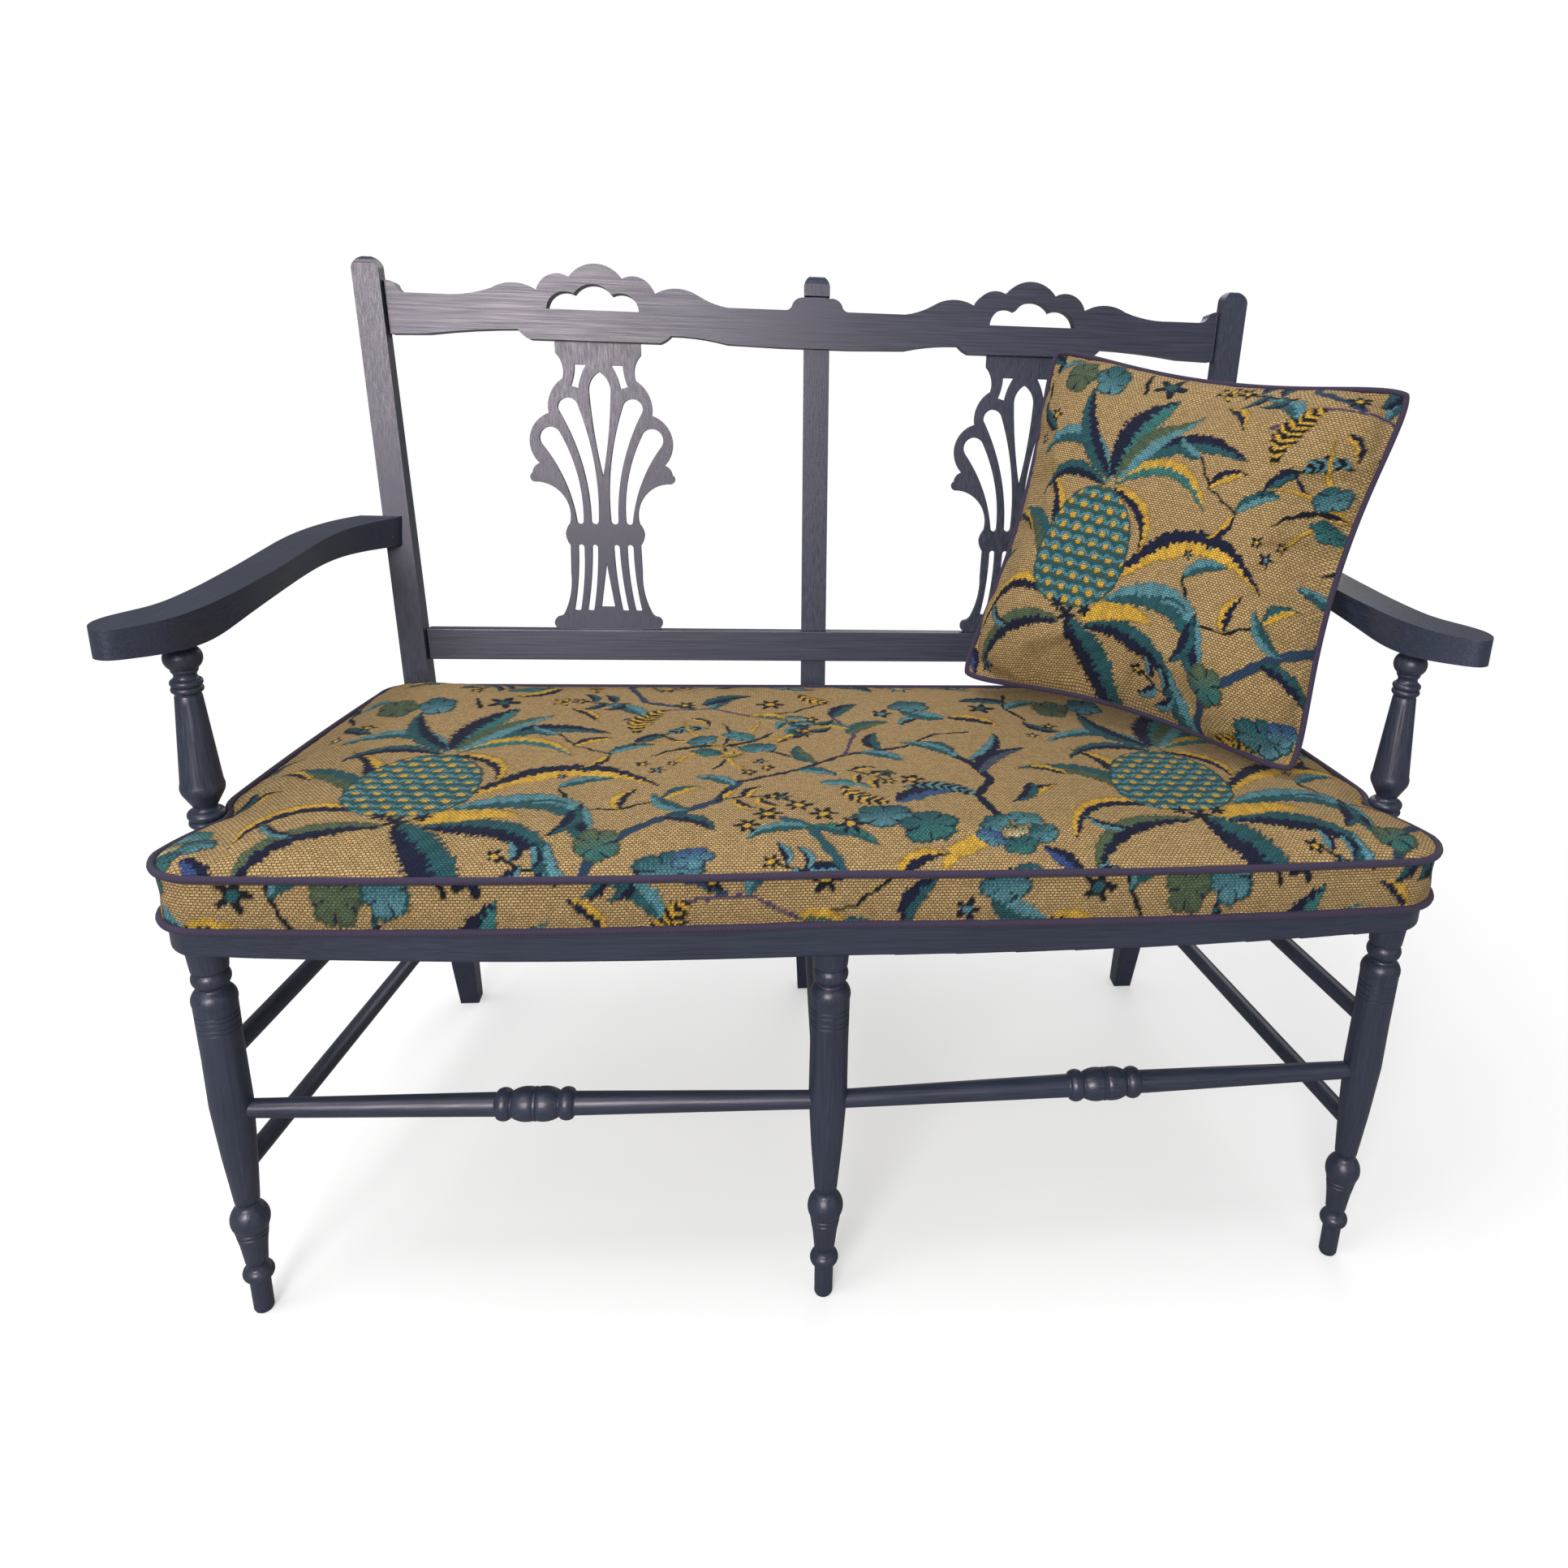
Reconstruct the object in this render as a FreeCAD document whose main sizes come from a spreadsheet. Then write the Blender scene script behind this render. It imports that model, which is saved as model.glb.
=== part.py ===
import FreeCAD, Part
import math
import os
from types import SimpleNamespace
from FreeCAD import Placement, Rotation, Vector

# Upholstered two seat bench with a painted beech frame, a boxed and piped seat cushion
# and one scatter cushion.
# X runs to the sitter's left as seen from the front, Y runs to the back and Z is up.
# The frame is drawn from the line of the front legs, and the last step moves the whole
# bench so that its origin is under the middle of its outer box.

SIZES = {
    # Fits and cuts
    "fit_gap": 0.2,
    "rest_gap": 0.3,
    "overrun": 4.0,
    # Seat frame, heights above the floor and reaches from the front leg line
    "seat_underside": 367.0,
    "seat_rail_height": 32.0,
    "seat_bow_reach": 44.0,
    "seat_shoulder_reach": 24.0,
    "seat_shoulder_half": 497.0,
    "seat_half_width": 519.5,
    "front_rail_back_reach": 34.0,
    "side_rail_overhang": 18.0,
    "side_rail_width": 62.0,
    "seat_edge_round": 7.0,
    "rail_tenon_length": 16.0,
    "rail_tenon_height": 18.0,
    "rail_tenon_width": 36.0,
    "cross_rail_width": 50.0,
    "cross_rail_height": 26.0,
    "cross_tenon_width": 15.0,
    "back_rail_depth": 24.0,
    "back_rail_setback": 5.0,
    "back_tenon_depth": 10.0,
    "seat_board_thickness": 6.0,
    "seat_board_ledge": 10.0,
    "block_leg": 52.0,
    "block_height": 20.0,
    # Front legs
    "leg_half_spread": 493.5,
    "middle_leg_forward": 16.0,
    "leg_radius": 18.5,
    "leg_spigot_radius": 9.5,
    "leg_spigot_length": 22.0,
    "score_depth": 0.8,
    # Stretchers
    "front_stretcher_height": 210.0,
    "front_stretcher_radius": 14.4,
    "stretcher_centre_length": 63.0,
    "front_tenon_radius": 8.0,
    "lower_stretcher_height": 150.0,
    "upper_stretcher_height": 260.0,
    "side_stretcher_radius": 8.2,
    "stretcher_tenon_depth": 8.0,
    "back_stretcher_height": 205.0,
    # Back posts and the raked plane of the back
    "back_plane_reach": 399.0,
    "back_rake_angle": 7.67,
    "post_half_foot": 421.0,
    "post_half_seat": 428.0,
    "post_half_top": 459.5,
    "post_height": 885.0,
    "post_bend_height": 430.0,
    "post_width": 26.5,
    "post_foot_width": 22.0,
    "post_depth": 25.0,
    "post_top_depth": 20.0,
    "post_foot_depth": 22.0,
    "post_foot_taper": 62.0,
    "post_foot_reach": 471.0,
    "post_proud": 5.0,
    "post_edge_round": 2.5,
    "middle_post_width": 27.0,
    "middle_post_foot_width": 21.0,
    "middle_post_depth": 22.0,
    "middle_post_setback": 9.0,
    # Back rails, heights measured up the slope from the seat top
    "rail_setback": 5.0,
    "rail_thickness": 20.0,
    "lower_rail_base": 73.5,
    "lower_rail_height": 33.5,
    "top_rail_base": 414.3,
    "top_rail_crest": 78.2,
    "top_rail_lap": 10.4,
    "halving_depth": 8.0,
    "back_tenon_length": 12.0,
    "back_tenon_height": 22.0,
    "back_tenon_thickness": 10.0,
    "handle_half_width": 47.5,
    "handle_height": 26.4,
    "handle_base": 31.3,
    # Splats
    "splat_half_width": 75.0,
    "splat_thickness": 8.0,
    "splat_setback": 12.0,
    "splat_tongue": 7.0,
    "splat_tongue_half": 36.0,
    # Arms and their turned supports
    "arm_underside": 597.0,
    "arm_thickness": 27.0,
    "arm_half_reach": 546.0,
    "arm_front_reach": 4.0,
    "arm_dowel_radius": 4.0,
    "arm_dowel_outset": 6.0,
    "arm_dowel_length": 30.0,
    "baluster_half_spread": 507.0,
    "baluster_back": 63.0,
    "baluster_radius": 15.8,
    "baluster_spigot_radius": 7.5,
    "baluster_spigot_length": 18.0,
    # Seat cushion
    "squab_half_width": 514.0,
    "squab_front_reach": 48.0,
    "squab_depth": 440.0,
    "squab_support_gap": 1.2,
    "squab_height": 49.0,
    "squab_crown": 14.0,
    "squab_crown_reach": 98.5,
    "squab_draw": 4.0,
    "cover_thickness": 1.6,
    "piping_radius": 3.4,
    "squab_zip_length": 420.0,
    "zip_height": 12.0,
    "zip_proud": 1.2,
    # Scatter cushion
    "scatter_half": 190.0,
    "scatter_half_thickness": 58.0,
    "scatter_turn_angle": -42.0,
    "scatter_lean_angle": -23.3,
    "scatter_roll_angle": 2.1,
    "scatter_centre_side": 342.0,
    "scatter_centre_back": 250.5,
    "scatter_centre_rise": 246.2,
}
size = SimpleNamespace(**SIZES)

doc = FreeCAD.newDocument("bench")
sheet = doc.addObject("Spreadsheet::Sheet", "sizes")
for row, (alias, value) in enumerate(SIZES.items(), start=1):
    sheet.set("A%d" % row, alias)
    sheet.set("B%d" % row, str(value))
    sheet.setAlias("B%d" % row, alias)
doc.recompute()

UP = Vector(0, 0, 1)
ACROSS = Vector(1, 0, 0)
BACKWARD = Vector(0, 1, 0)
nodes = []


# Drawing helpers

def curve_loop(points, slight_share=0):
    """Close points (a, b, bulge) into lines and arcs; a bulge over zero swells outwards.

    An arc flatter than slight_share becomes a parabola through the same three points.
    """
    curves = []
    for (a, b, bulge), (a_next, b_next, _) in zip(points, points[1:] + points[:1]):
        start = Vector(a, b, 0)
        end = Vector(a_next, b_next, 0)
        if start.distanceToPoint(end) == 0:
            continue
        if bulge == 0:
            curves.append(Part.LineSegment(start, end))
        else:
            outward = Vector(b_next - b, a - a_next, 0)
            middle = (start + end) * 0.5 + outward * (bulge / 2)
            if abs(bulge) < slight_share:
                parabola = Part.BezierCurve()
                parabola.setPoles([start, middle * 2 - (start + end) * 0.5, end])
                curves.append(parabola.toBSpline())
            else:
                curves.append(Part.Arc(start, middle, end))
    return curves


def mirrored(half):
    """Complete a half outline that climbs on the right from the centre line."""
    left = []
    for index in range(len(half) - 1, -1, -1):
        a, b, _ = half[index]
        bulge = half[index - 1][2] if index else 0
        left.append((-a, b, bulge))
    if half[-1][0] == 0:
        left = left[1:]
        closing = half[-2][2]
        half = half[:-1] + [(half[-1][0], half[-1][1], closing)]
    if left[-1][0] == 0:
        left = left[:-1]
    return half + left


def stretched(shares, width, height, start=(0, 0)):
    """Scale an outline given as shares and move it to its start."""
    return [(start[0] + a * width, start[1] + b * height, bulge) for a, b, bulge in shares]


def body_sketch(body, role, loops, offset=0):
    plane = [item for item in body.Origin.OriginFeatures if item.Role == role][0]
    sketch = body.newObject("Sketcher::SketchObject", body.Name + "_outline")
    sketch.AttachmentSupport = [(plane, "")]
    sketch.MapMode = "FlatFace"
    sketch.AttachmentOffset = Placement(Vector(0, 0, offset), Rotation())
    for loop in loops:
        sketch.addGeometry(loop, False)
    return sketch


def padded(name, role, loops, length_rule, offset=0, place=Placement()):
    """Pad closed loops drawn on one of a new body's own planes."""
    body = doc.addObject("PartDesign::Body", name)
    sketch = body_sketch(body, role, loops, offset)
    pad = body.newObject("PartDesign::Pad", name + "_pad")
    pad.Profile = sketch
    pad.setExpression("Length", length_rule)
    body.Placement = place
    return body


def plate(name, loops, setback, thickness_name, place):
    """Pad loops drawn in the plane of the back, forward from their rear face."""
    rear = setback + getattr(size, thickness_name)
    return padded(name, "XZ_Plane", loops, "sizes." + thickness_name, -rear, place)


def turned(name, points, place):
    """Turn a profile of (radius, height, bulge) about its own upright axis."""
    body = doc.addObject("PartDesign::Body", name)
    sketch = body_sketch(body, "XZ_Plane", [curve_loop(points, 0.3)])
    turning = body.newObject("PartDesign::Revolution", name + "_turning")
    turning.Profile = sketch
    turning.ReferenceAxis = (sketch, ["V_Axis"])
    turning.Angle = 360
    body.Placement = place
    return body


def bind(feature, size_name, value):
    """Give a feature a size, as a rule on the sheet or as a length worked out from it."""
    if isinstance(value, str):
        feature.setExpression(size_name, value)
    else:
        setattr(feature, size_name, value)


def rod(name, radius, length, start, direction):
    """A round bar, also used as the drill for a socket."""
    bar = doc.addObject("Part::Cylinder", name)
    bind(bar, "Radius", radius)
    bind(bar, "Height", length)
    bar.Placement = Placement(start, Rotation(UP, direction))
    return bar


def block(name, length, width, height, place):
    """A rectangular bar from the corner at its placement."""
    bar = doc.addObject("Part::Box", name)
    bind(bar, "Length", length)
    bind(bar, "Width", width)
    bind(bar, "Height", height)
    bar.Placement = place
    return bar


def joined(name, pieces):
    if len(pieces) == 1:
        return pieces[0]
    union = doc.addObject("Part::MultiFuse", name)
    union.Shapes = pieces
    return union


def cut(name, base, tools):
    result = doc.addObject("Part::Cut", name)
    result.Base = base
    result.Tool = joined(name + "_tools", tools)
    return result


def common(name, first, second):
    result = doc.addObject("Part::MultiCommon", name)
    result.Shapes = [first, second]
    return result


def keep(piece, label):
    """Give a finished piece its own label and put it on the list of nodes."""
    for other in doc.Objects:
        if other.Label == label:
            other.Label = label + "_blank"
    piece.Label = label
    nodes.append(piece)
    return piece


def side_name(side):
    return "left" if side < 0 else "right"


# Shared heights, planes and lines

seat_top = size.seat_underside + size.seat_rail_height
rake = math.radians(size.back_rake_angle)
back_frame = Placement(Vector(0, size.back_plane_reach, seat_top), Rotation(ACROSS, -size.back_rake_angle))
post_front = size.back_plane_reach - size.post_proud
post_splay = (size.post_half_top - size.post_half_seat) / (size.post_height - size.post_bend_height)
leg_rake = (size.post_foot_reach - post_front) / size.seat_underside


def post_centre(slope_height):
    """Half spread of the outer posts at a height up the slope of the back."""
    rise = seat_top + slope_height * math.cos(rake) - size.post_bend_height
    return size.post_half_seat + post_splay * rise


def post_front_at(height):
    """Reach of the outer posts' front face below the seat."""
    return size.post_foot_reach - leg_rake * height


def back_place(side_ways, setback, slope_height):
    return back_frame.multiply(Placement(Vector(side_ways, setback, slope_height), Rotation()))


# Turned front legs
# Each profile is a list of (radius share, height share, bulge) from the floor up.

leg_profile_shares = [
    (0.40, 0.0, 0), (0.45, 0.006, 0), (0.46, 0.088, -0.2), (0.52, 0.093, 0.55), (0.50, 0.127, -0.3),
    (0.50, 0.145, 0), (0.60, 0.196, 0), (0.75, 0.244, 0.34), (0.54, 0.303, -0.4), (0.54, 0.320, 0),
    (0.745, 0.450, 0), (0.90, 0.590, 0), (0.88, 0.720, 0), (0.90, 0.852, 0.34), (0.64, 0.889, -0.4),
    (0.64, 0.897, 0.42), (0.67, 0.932, -0.3), (0.76, 0.938, 0), (0.86, 0.995, 0), (0.86, 1.0, 0),
]
leg_score_shares = [0.225, 0.238, 0.790, 0.802, 0.819, 0.831]


def radius_at(points, height):
    """Radius of a turned profile on the straight line between its points."""
    for (low_radius, low, _), (high_radius, high, _) in zip(points, points[1:]):
        if low <= height <= high:
            return low_radius + (high_radius - low_radius) * (height - low) / (high - low)
    return points[-1][0]


def scored(points, heights):
    """Cut a small V line into a turned profile at each height."""
    for height in heights:
        for index, (low_radius, low, bulge) in enumerate(points[:-1]):
            high = points[index + 1][1]
            if low < height - size.score_depth and height + size.score_depth < high:
                outer = radius_at(points, height)
                line = [
                    (outer, height - size.score_depth, 0),
                    (outer - size.score_depth, height, 0),
                    (outer, height + size.score_depth, 0),
                ]
                points = points[:index] + [(low_radius, low, 0)] + line + points[index + 1:]
                break
    return points


def front_leg(name, across, forward):
    outline = stretched(leg_profile_shares, size.leg_radius, size.seat_underside)
    outline = scored(outline, [share * size.seat_underside for share in leg_score_shares])
    spigot_top = size.seat_underside + size.leg_spigot_length
    profile = [(0, 0, 0)] + outline + [
        (size.leg_spigot_radius, size.seat_underside, 0),
        (size.leg_spigot_radius, spigot_top, 0),
        (0, spigot_top, 0),
    ]
    return turned(name, profile, Placement(Vector(across, -forward, 0), Rotation()))


# Stretchers, drawn upright from the middle of their length

def front_stretcher_profile(half_length, rod_start):
    """Half of the turning: plain end, tapering rod, bead and the end of the barrel."""
    centre_half = size.stretcher_centre_length / 2
    radius = size.front_stretcher_radius
    score = size.score_depth
    return [
        (0, -half_length, 0),
        (size.front_tenon_radius, -half_length, 0),
        (size.front_tenon_radius, -rod_start, 0),
        (radius * 0.70, -centre_half - radius * 0.15, -0.4),
        (radius * 0.84, -centre_half, 0.34),
        (radius * 0.84, -centre_half * 0.66, -0.7),
        (radius * 0.80, -centre_half * 0.60, 0.18),
        (radius * 0.99, -3 * score, 0),
        (radius - score, -2 * score, 0),
        (radius, -score, 0),
        (radius, 0, 0),
    ]


def doubled(half_profile):
    """Mirror a turned half profile about the middle of its length."""
    rest = []
    for index in range(len(half_profile) - 2, -1, -1):
        radius, height, bulge = half_profile[index]
        turn = half_profile[index - 1][2] if index else 0
        rest.append((radius, -height, turn))
    middle = half_profile[-1]
    return half_profile[:-1] + [(middle[0], middle[1], half_profile[-2][2])] + rest


class Stretcher:
    """A rod whose plain ends are socketed into two uprights."""

    def __init__(self, label, start, end, start_inset, end_inset, radius_name):
        self.direction = Vector(end - start).normalize()
        self.label = label
        self.radius_name = radius_name
        self.ends = (start + self.direction * start_inset, end - self.direction * end_inset)
        self.half_free = (self.ends[1] - self.ends[0]).Length / 2

    def plain(self):
        """A round rod of one thickness."""
        length = 2 * (self.half_free + size.stretcher_tenon_depth)
        start = self.ends[0] - self.direction * size.stretcher_tenon_depth
        keep(rod(self.label + "_rod", "sizes." + self.radius_name, length, start, self.direction), self.label)
        return self

    def ornamental(self):
        """A tapering rod with a turned centre."""
        half_length = self.half_free + size.stretcher_tenon_depth
        profile = front_stretcher_profile(half_length, self.half_free - size.overrun)
        middle = (self.ends[0] + self.ends[1]) * 0.5
        keep(turned(self.label + "_rod", doubled(profile), Placement(middle, Rotation(UP, self.direction))),
             self.label)
        return self

    def socket(self, at_start):
        """The drill for one end, a little wider and deeper than the rod."""
        inward = -self.direction if at_start else self.direction
        mouth = self.ends[0 if at_start else 1] - inward * size.overrun
        rule = "sizes.%s + sizes.fit_gap" % self.radius_name
        depth = "sizes.stretcher_tenon_depth + sizes.overrun + sizes.fit_gap"
        return rod("%s_socket_%d" % (self.label, at_start), rule, depth, mouth, inward)


def leg_radius_at(height):
    outline = stretched(leg_profile_shares, size.leg_radius, size.seat_underside)
    return radius_at(outline, height)


leg_spots = {
    "left": Vector(-size.leg_half_spread, 0, 0),
    "middle": Vector(0, -size.middle_leg_forward, 0),
    "right": Vector(size.leg_half_spread, 0, 0),
}
sockets = {}


def add_socket(upright, drill):
    sockets.setdefault(upright, []).append(drill)


def leg_to_leg(label, first, second, height):
    reach = leg_radius_at(height)
    rail = Stretcher(label, leg_spots[first] + UP * height, leg_spots[second] + UP * height, reach, reach,
                     "front_tenon_radius").ornamental()
    add_socket("front_leg_" + first, rail.socket(True))
    add_socket("front_leg_" + second, rail.socket(False))


def leg_to_post(label, which, height, post_across, post_reach):
    start = leg_spots[which] + UP * height
    end = Vector(post_across, post_reach, height)
    rail = Stretcher(label, start, end, leg_radius_at(height), 0, "side_stretcher_radius").plain()
    add_socket("front_leg_" + which, rail.socket(True))
    add_socket("back_post_" + which, rail.socket(False))


def post_spread_at(height):
    """Half spread of the outer posts below the seat."""
    share = height / size.post_bend_height
    return size.post_half_foot + (size.post_half_seat - size.post_half_foot) * share


middle_front = size.back_plane_reach + size.middle_post_setback
middle_foot_reach = size.post_foot_reach + size.middle_post_setback + size.post_proud


def middle_front_at(height):
    return middle_foot_reach - leg_rake * height


leg_to_leg("front_stretcher_left", "left", "middle", size.front_stretcher_height)
leg_to_leg("front_stretcher_right", "middle", "right", size.front_stretcher_height)
for level, height in (("lower", size.lower_stretcher_height), ("upper", size.upper_stretcher_height)):
    for side in (-1, 1):
        leg_to_post("side_stretcher_%s_%s" % (level, side_name(side)), side_name(side), height,
                    side * post_spread_at(height), post_front_at(height))
    leg_to_post("middle_stretcher_" + level, "middle", height, 0, middle_front_at(height))

back_rod_height = size.back_stretcher_height
back_rod_reach = (post_front_at(back_rod_height) + size.post_depth + middle_front_at(back_rod_height)) / 2
outer_half = size.post_width / 2
inner_half = size.middle_post_width / 2
for side in (-1, 1):
    rail = Stretcher("back_stretcher_" + side_name(side),
                     Vector(side * post_spread_at(back_rod_height), back_rod_reach, back_rod_height),
                     Vector(0, back_rod_reach, back_rod_height),
                     outer_half, inner_half, "side_stretcher_radius").plain()
    add_socket("back_post_" + side_name(side), rail.socket(True))
    add_socket("back_post_middle", rail.socket(False))

for which, spot in leg_spots.items():
    label = "front_leg_" + which
    blank = front_leg(label + "_turning", spot.x, -spot.y)
    keep(cut(label + "_cut", blank, sockets[label]), label)


# Seat frame
# The bowed front rail runs the full width, and the side rails run back to the posts.

seat_rule = "sizes.seat_rail_height"
side_rail_back_half = size.post_half_seat + size.side_rail_overhang
side_slope = (side_rail_back_half - size.seat_half_width) / (post_front - size.front_rail_back_reach)
rail_end_gap = size.fit_gap


def side_edge(reach, inset=0):
    """Half width of the seat frame behind its front rail."""
    return size.seat_half_width + side_slope * (reach - size.front_rail_back_reach) - inset


def rounded_rail(name, blank):
    """Soften the long outer edges of a seat rail."""
    doc.recompute()
    edges = []
    for number, edge in enumerate(blank.Shape.Edges, start=1):
        box = edge.BoundBox
        flat = box.ZLength < size.fit_gap
        outside = abs(edge.valueAt(edge.FirstParameter).x) > size.seat_half_width
        if flat and not outside and is_outer(edge):
            edges.append((number, size.seat_edge_round * 0.5, size.seat_edge_round * 0.5))
    result = doc.addObject("Part::Fillet", name)
    result.Base = blank
    result.Edges = edges
    return result


def is_outer(edge):
    """True for an edge on the front or the outer side of the seat frame."""
    middle = edge.valueAt((edge.FirstParameter + edge.LastParameter) / 2)
    if middle.y < size.front_rail_back_reach - size.overrun:
        return True
    if middle.y < size.front_rail_back_reach + size.overrun:
        return False
    return abs(abs(middle.x) - side_edge(middle.y)) < size.fit_gap


front_rail_half = [
    (0, -size.seat_bow_reach, 0.035),
    (size.seat_shoulder_half, -size.seat_shoulder_reach, 0.36),
    (size.seat_half_width, size.front_rail_back_reach * 0.5, 0),
    (size.seat_half_width, size.front_rail_back_reach, 0),
    (0, size.front_rail_back_reach, 0),
]
front_blank = padded("front_rail_pad", "XY_Plane", [curve_loop(mirrored(front_rail_half))], seat_rule,
                     size.seat_underside)
front_rounded = rounded_rail("front_rail_rounded", front_blank)

tenon_rise = size.seat_underside + (size.seat_rail_height - size.rail_tenon_height) / 2
side_rails = {}
side_tenon_cuts = []
for side in (-1, 1):
    front = size.front_rail_back_reach + rail_end_gap
    back = post_front - rail_end_gap
    corners = [
        (side * side_edge(front), front, 0),
        (side * side_edge(back), back, 0),
        (side * side_edge(back, size.side_rail_width), back, 0),
        (side * side_edge(front, size.side_rail_width), front, 0),
    ]
    blank = padded("side_rail_pad_" + side_name(side), "XY_Plane", [curve_loop(corners)], seat_rule,
                   size.seat_underside)
    rounded = rounded_rail("side_rail_rounded_" + side_name(side), blank)
    tenon_middle = side * side_edge(front, size.side_rail_width / 2)
    corner = Vector(tenon_middle - size.rail_tenon_width / 2, front - size.rail_tenon_length, tenon_rise)
    tenon = block("side_tenon_" + side_name(side), "sizes.rail_tenon_width",
                  "sizes.rail_tenon_length + sizes.overrun", "sizes.rail_tenon_height",
                  Placement(corner, Rotation()))
    room = Vector(size.fit_gap, size.fit_gap, size.fit_gap)
    mortise = block("side_mortise_" + side_name(side), "sizes.rail_tenon_width + 2 * sizes.fit_gap",
                    "sizes.rail_tenon_length + sizes.overrun", "sizes.rail_tenon_height + 2 * sizes.fit_gap",
                    Placement(corner - room, Rotation()))
    side_tenon_cuts.append(mortise)
    rear_middle = side * post_centre(0)
    rear_corner = Vector(rear_middle - size.back_tenon_thickness / 2, back - size.overrun, tenon_rise)
    rear = block("side_rear_tenon_" + side_name(side), "sizes.back_tenon_thickness",
                 "sizes.overrun + sizes.back_tenon_length", "sizes.rail_tenon_height",
                 Placement(rear_corner, Rotation()))
    rear_room = Vector(size.fit_gap, 0, size.fit_gap)
    add_socket("back_post_" + side_name(side),
               block("side_rear_mortise_" + side_name(side), "sizes.back_tenon_thickness + 2 * sizes.fit_gap",
                     "sizes.overrun + sizes.back_tenon_length + sizes.fit_gap",
                     "sizes.rail_tenon_height + 2 * sizes.fit_gap",
                     Placement(rear_corner - rear_room, Rotation())))
    side_rails[side] = joined("side_rail_tenoned_" + side_name(side), [rounded, tenon, rear])

# Cross rail from the front rail to the middle post

cross_base = seat_top - size.seat_board_thickness - size.cross_rail_height
cross_front = size.front_rail_back_reach + rail_end_gap
back_rail_front = size.back_plane_reach + size.back_rail_setback
cross_back = back_rail_front - rail_end_gap
half_cross = size.cross_rail_width / 2
cross_corners = [
    (-half_cross, cross_front, 0), (half_cross, cross_front, 0),
    (half_cross, cross_back, 0), (-half_cross, cross_back, 0),
]
cross_blank = padded("cross_rail_pad", "XY_Plane", [curve_loop(cross_corners)], "sizes.cross_rail_height",
                     cross_base)
cross_tenon_rise = cross_base + (size.cross_rail_height - size.rail_tenon_height) / 2
cross_front_corner = Vector(-size.cross_tenon_width / 2, cross_front - size.rail_tenon_length,
                            cross_tenon_rise)
cross_rear_width = size.middle_post_width - 2 * size.back_tenon_depth - 4 * size.fit_gap
cross_width_rule = "sizes.middle_post_width - 2 * sizes.back_tenon_depth - 4 * sizes.fit_gap"
cross_rear_corner = Vector(-cross_rear_width / 2, cross_back - size.overrun, cross_tenon_rise)
cross_room = Vector(size.fit_gap, size.fit_gap, size.fit_gap)
cross_front_tenon = block("cross_front_tenon", "sizes.cross_tenon_width",
                          "sizes.rail_tenon_length + sizes.overrun", "sizes.rail_tenon_height",
                          Placement(cross_front_corner, Rotation()))
cross_reach_rule = "sizes.overrun + sizes.back_tenon_length + sizes.middle_post_setback - sizes.back_rail_setback"
cross_rear_tenon = block("cross_rear_tenon", cross_width_rule, cross_reach_rule,
                         "sizes.rail_tenon_height", Placement(cross_rear_corner, Rotation()))
cross_mortise = block("cross_mortise", "sizes.cross_tenon_width + 2 * sizes.fit_gap",
                      "sizes.rail_tenon_length + sizes.overrun",
                      "sizes.rail_tenon_height + 2 * sizes.fit_gap",
                      Placement(cross_front_corner - cross_room, Rotation()))
add_socket("back_post_middle",
           block("cross_rear_mortise", cross_width_rule + " + 2 * sizes.fit_gap",
                 cross_reach_rule + " + sizes.fit_gap",
                 "sizes.rail_tenon_height + 2 * sizes.fit_gap",
                 Placement(cross_rear_corner - Vector(size.fit_gap, 0, size.fit_gap), Rotation())))
keep(joined("cross_rail_tenoned", [cross_blank, cross_front_tenon, cross_rear_tenon]), "seat_cross_rail")

# Back seat rails between the posts

for side in (-1, 1):
    name = side_name(side)
    outer = post_centre(0) - size.post_width / 2 - rail_end_gap
    inner = size.middle_post_width / 2 + rail_end_gap
    corners = [
        (side * inner, back_rail_front, 0), (side * outer, back_rail_front, 0),
        (side * outer, back_rail_front + size.back_rail_depth, 0),
        (side * inner, back_rail_front + size.back_rail_depth, 0),
    ]
    blank = padded("back_seat_rail_pad_" + name, "XY_Plane", [curve_loop(corners)],
                   seat_rule + " - sizes.seat_board_thickness", size.seat_underside)
    tenon_front = back_rail_front + (size.back_rail_depth - size.back_tenon_depth) / 2
    low = min(side * inner, side * outer) - size.back_tenon_depth
    tenon_corner = Vector(low, tenon_front, tenon_rise)
    run = outer - inner + 2 * size.back_tenon_depth
    tenon = block("back_seat_tenon_" + name, run, "sizes.back_tenon_depth", "sizes.rail_tenon_height",
                  Placement(tenon_corner, Rotation()))
    for upright in ("back_post_" + name, "back_post_middle"):
        add_socket(upright, block("back_seat_mortise_%s_%s" % (upright, name), run + 2 * size.fit_gap,
                                  "sizes.back_tenon_depth + 2 * sizes.fit_gap",
                                  "sizes.rail_tenon_height + 2 * sizes.fit_gap",
                                  Placement(tenon_corner - cross_room, Rotation())))
    keep(joined("back_seat_rail_tenoned_" + name, [blank, tenon]), "seat_back_rail_" + name)

# Seat boards let into ledges round each half of the frame


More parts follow.
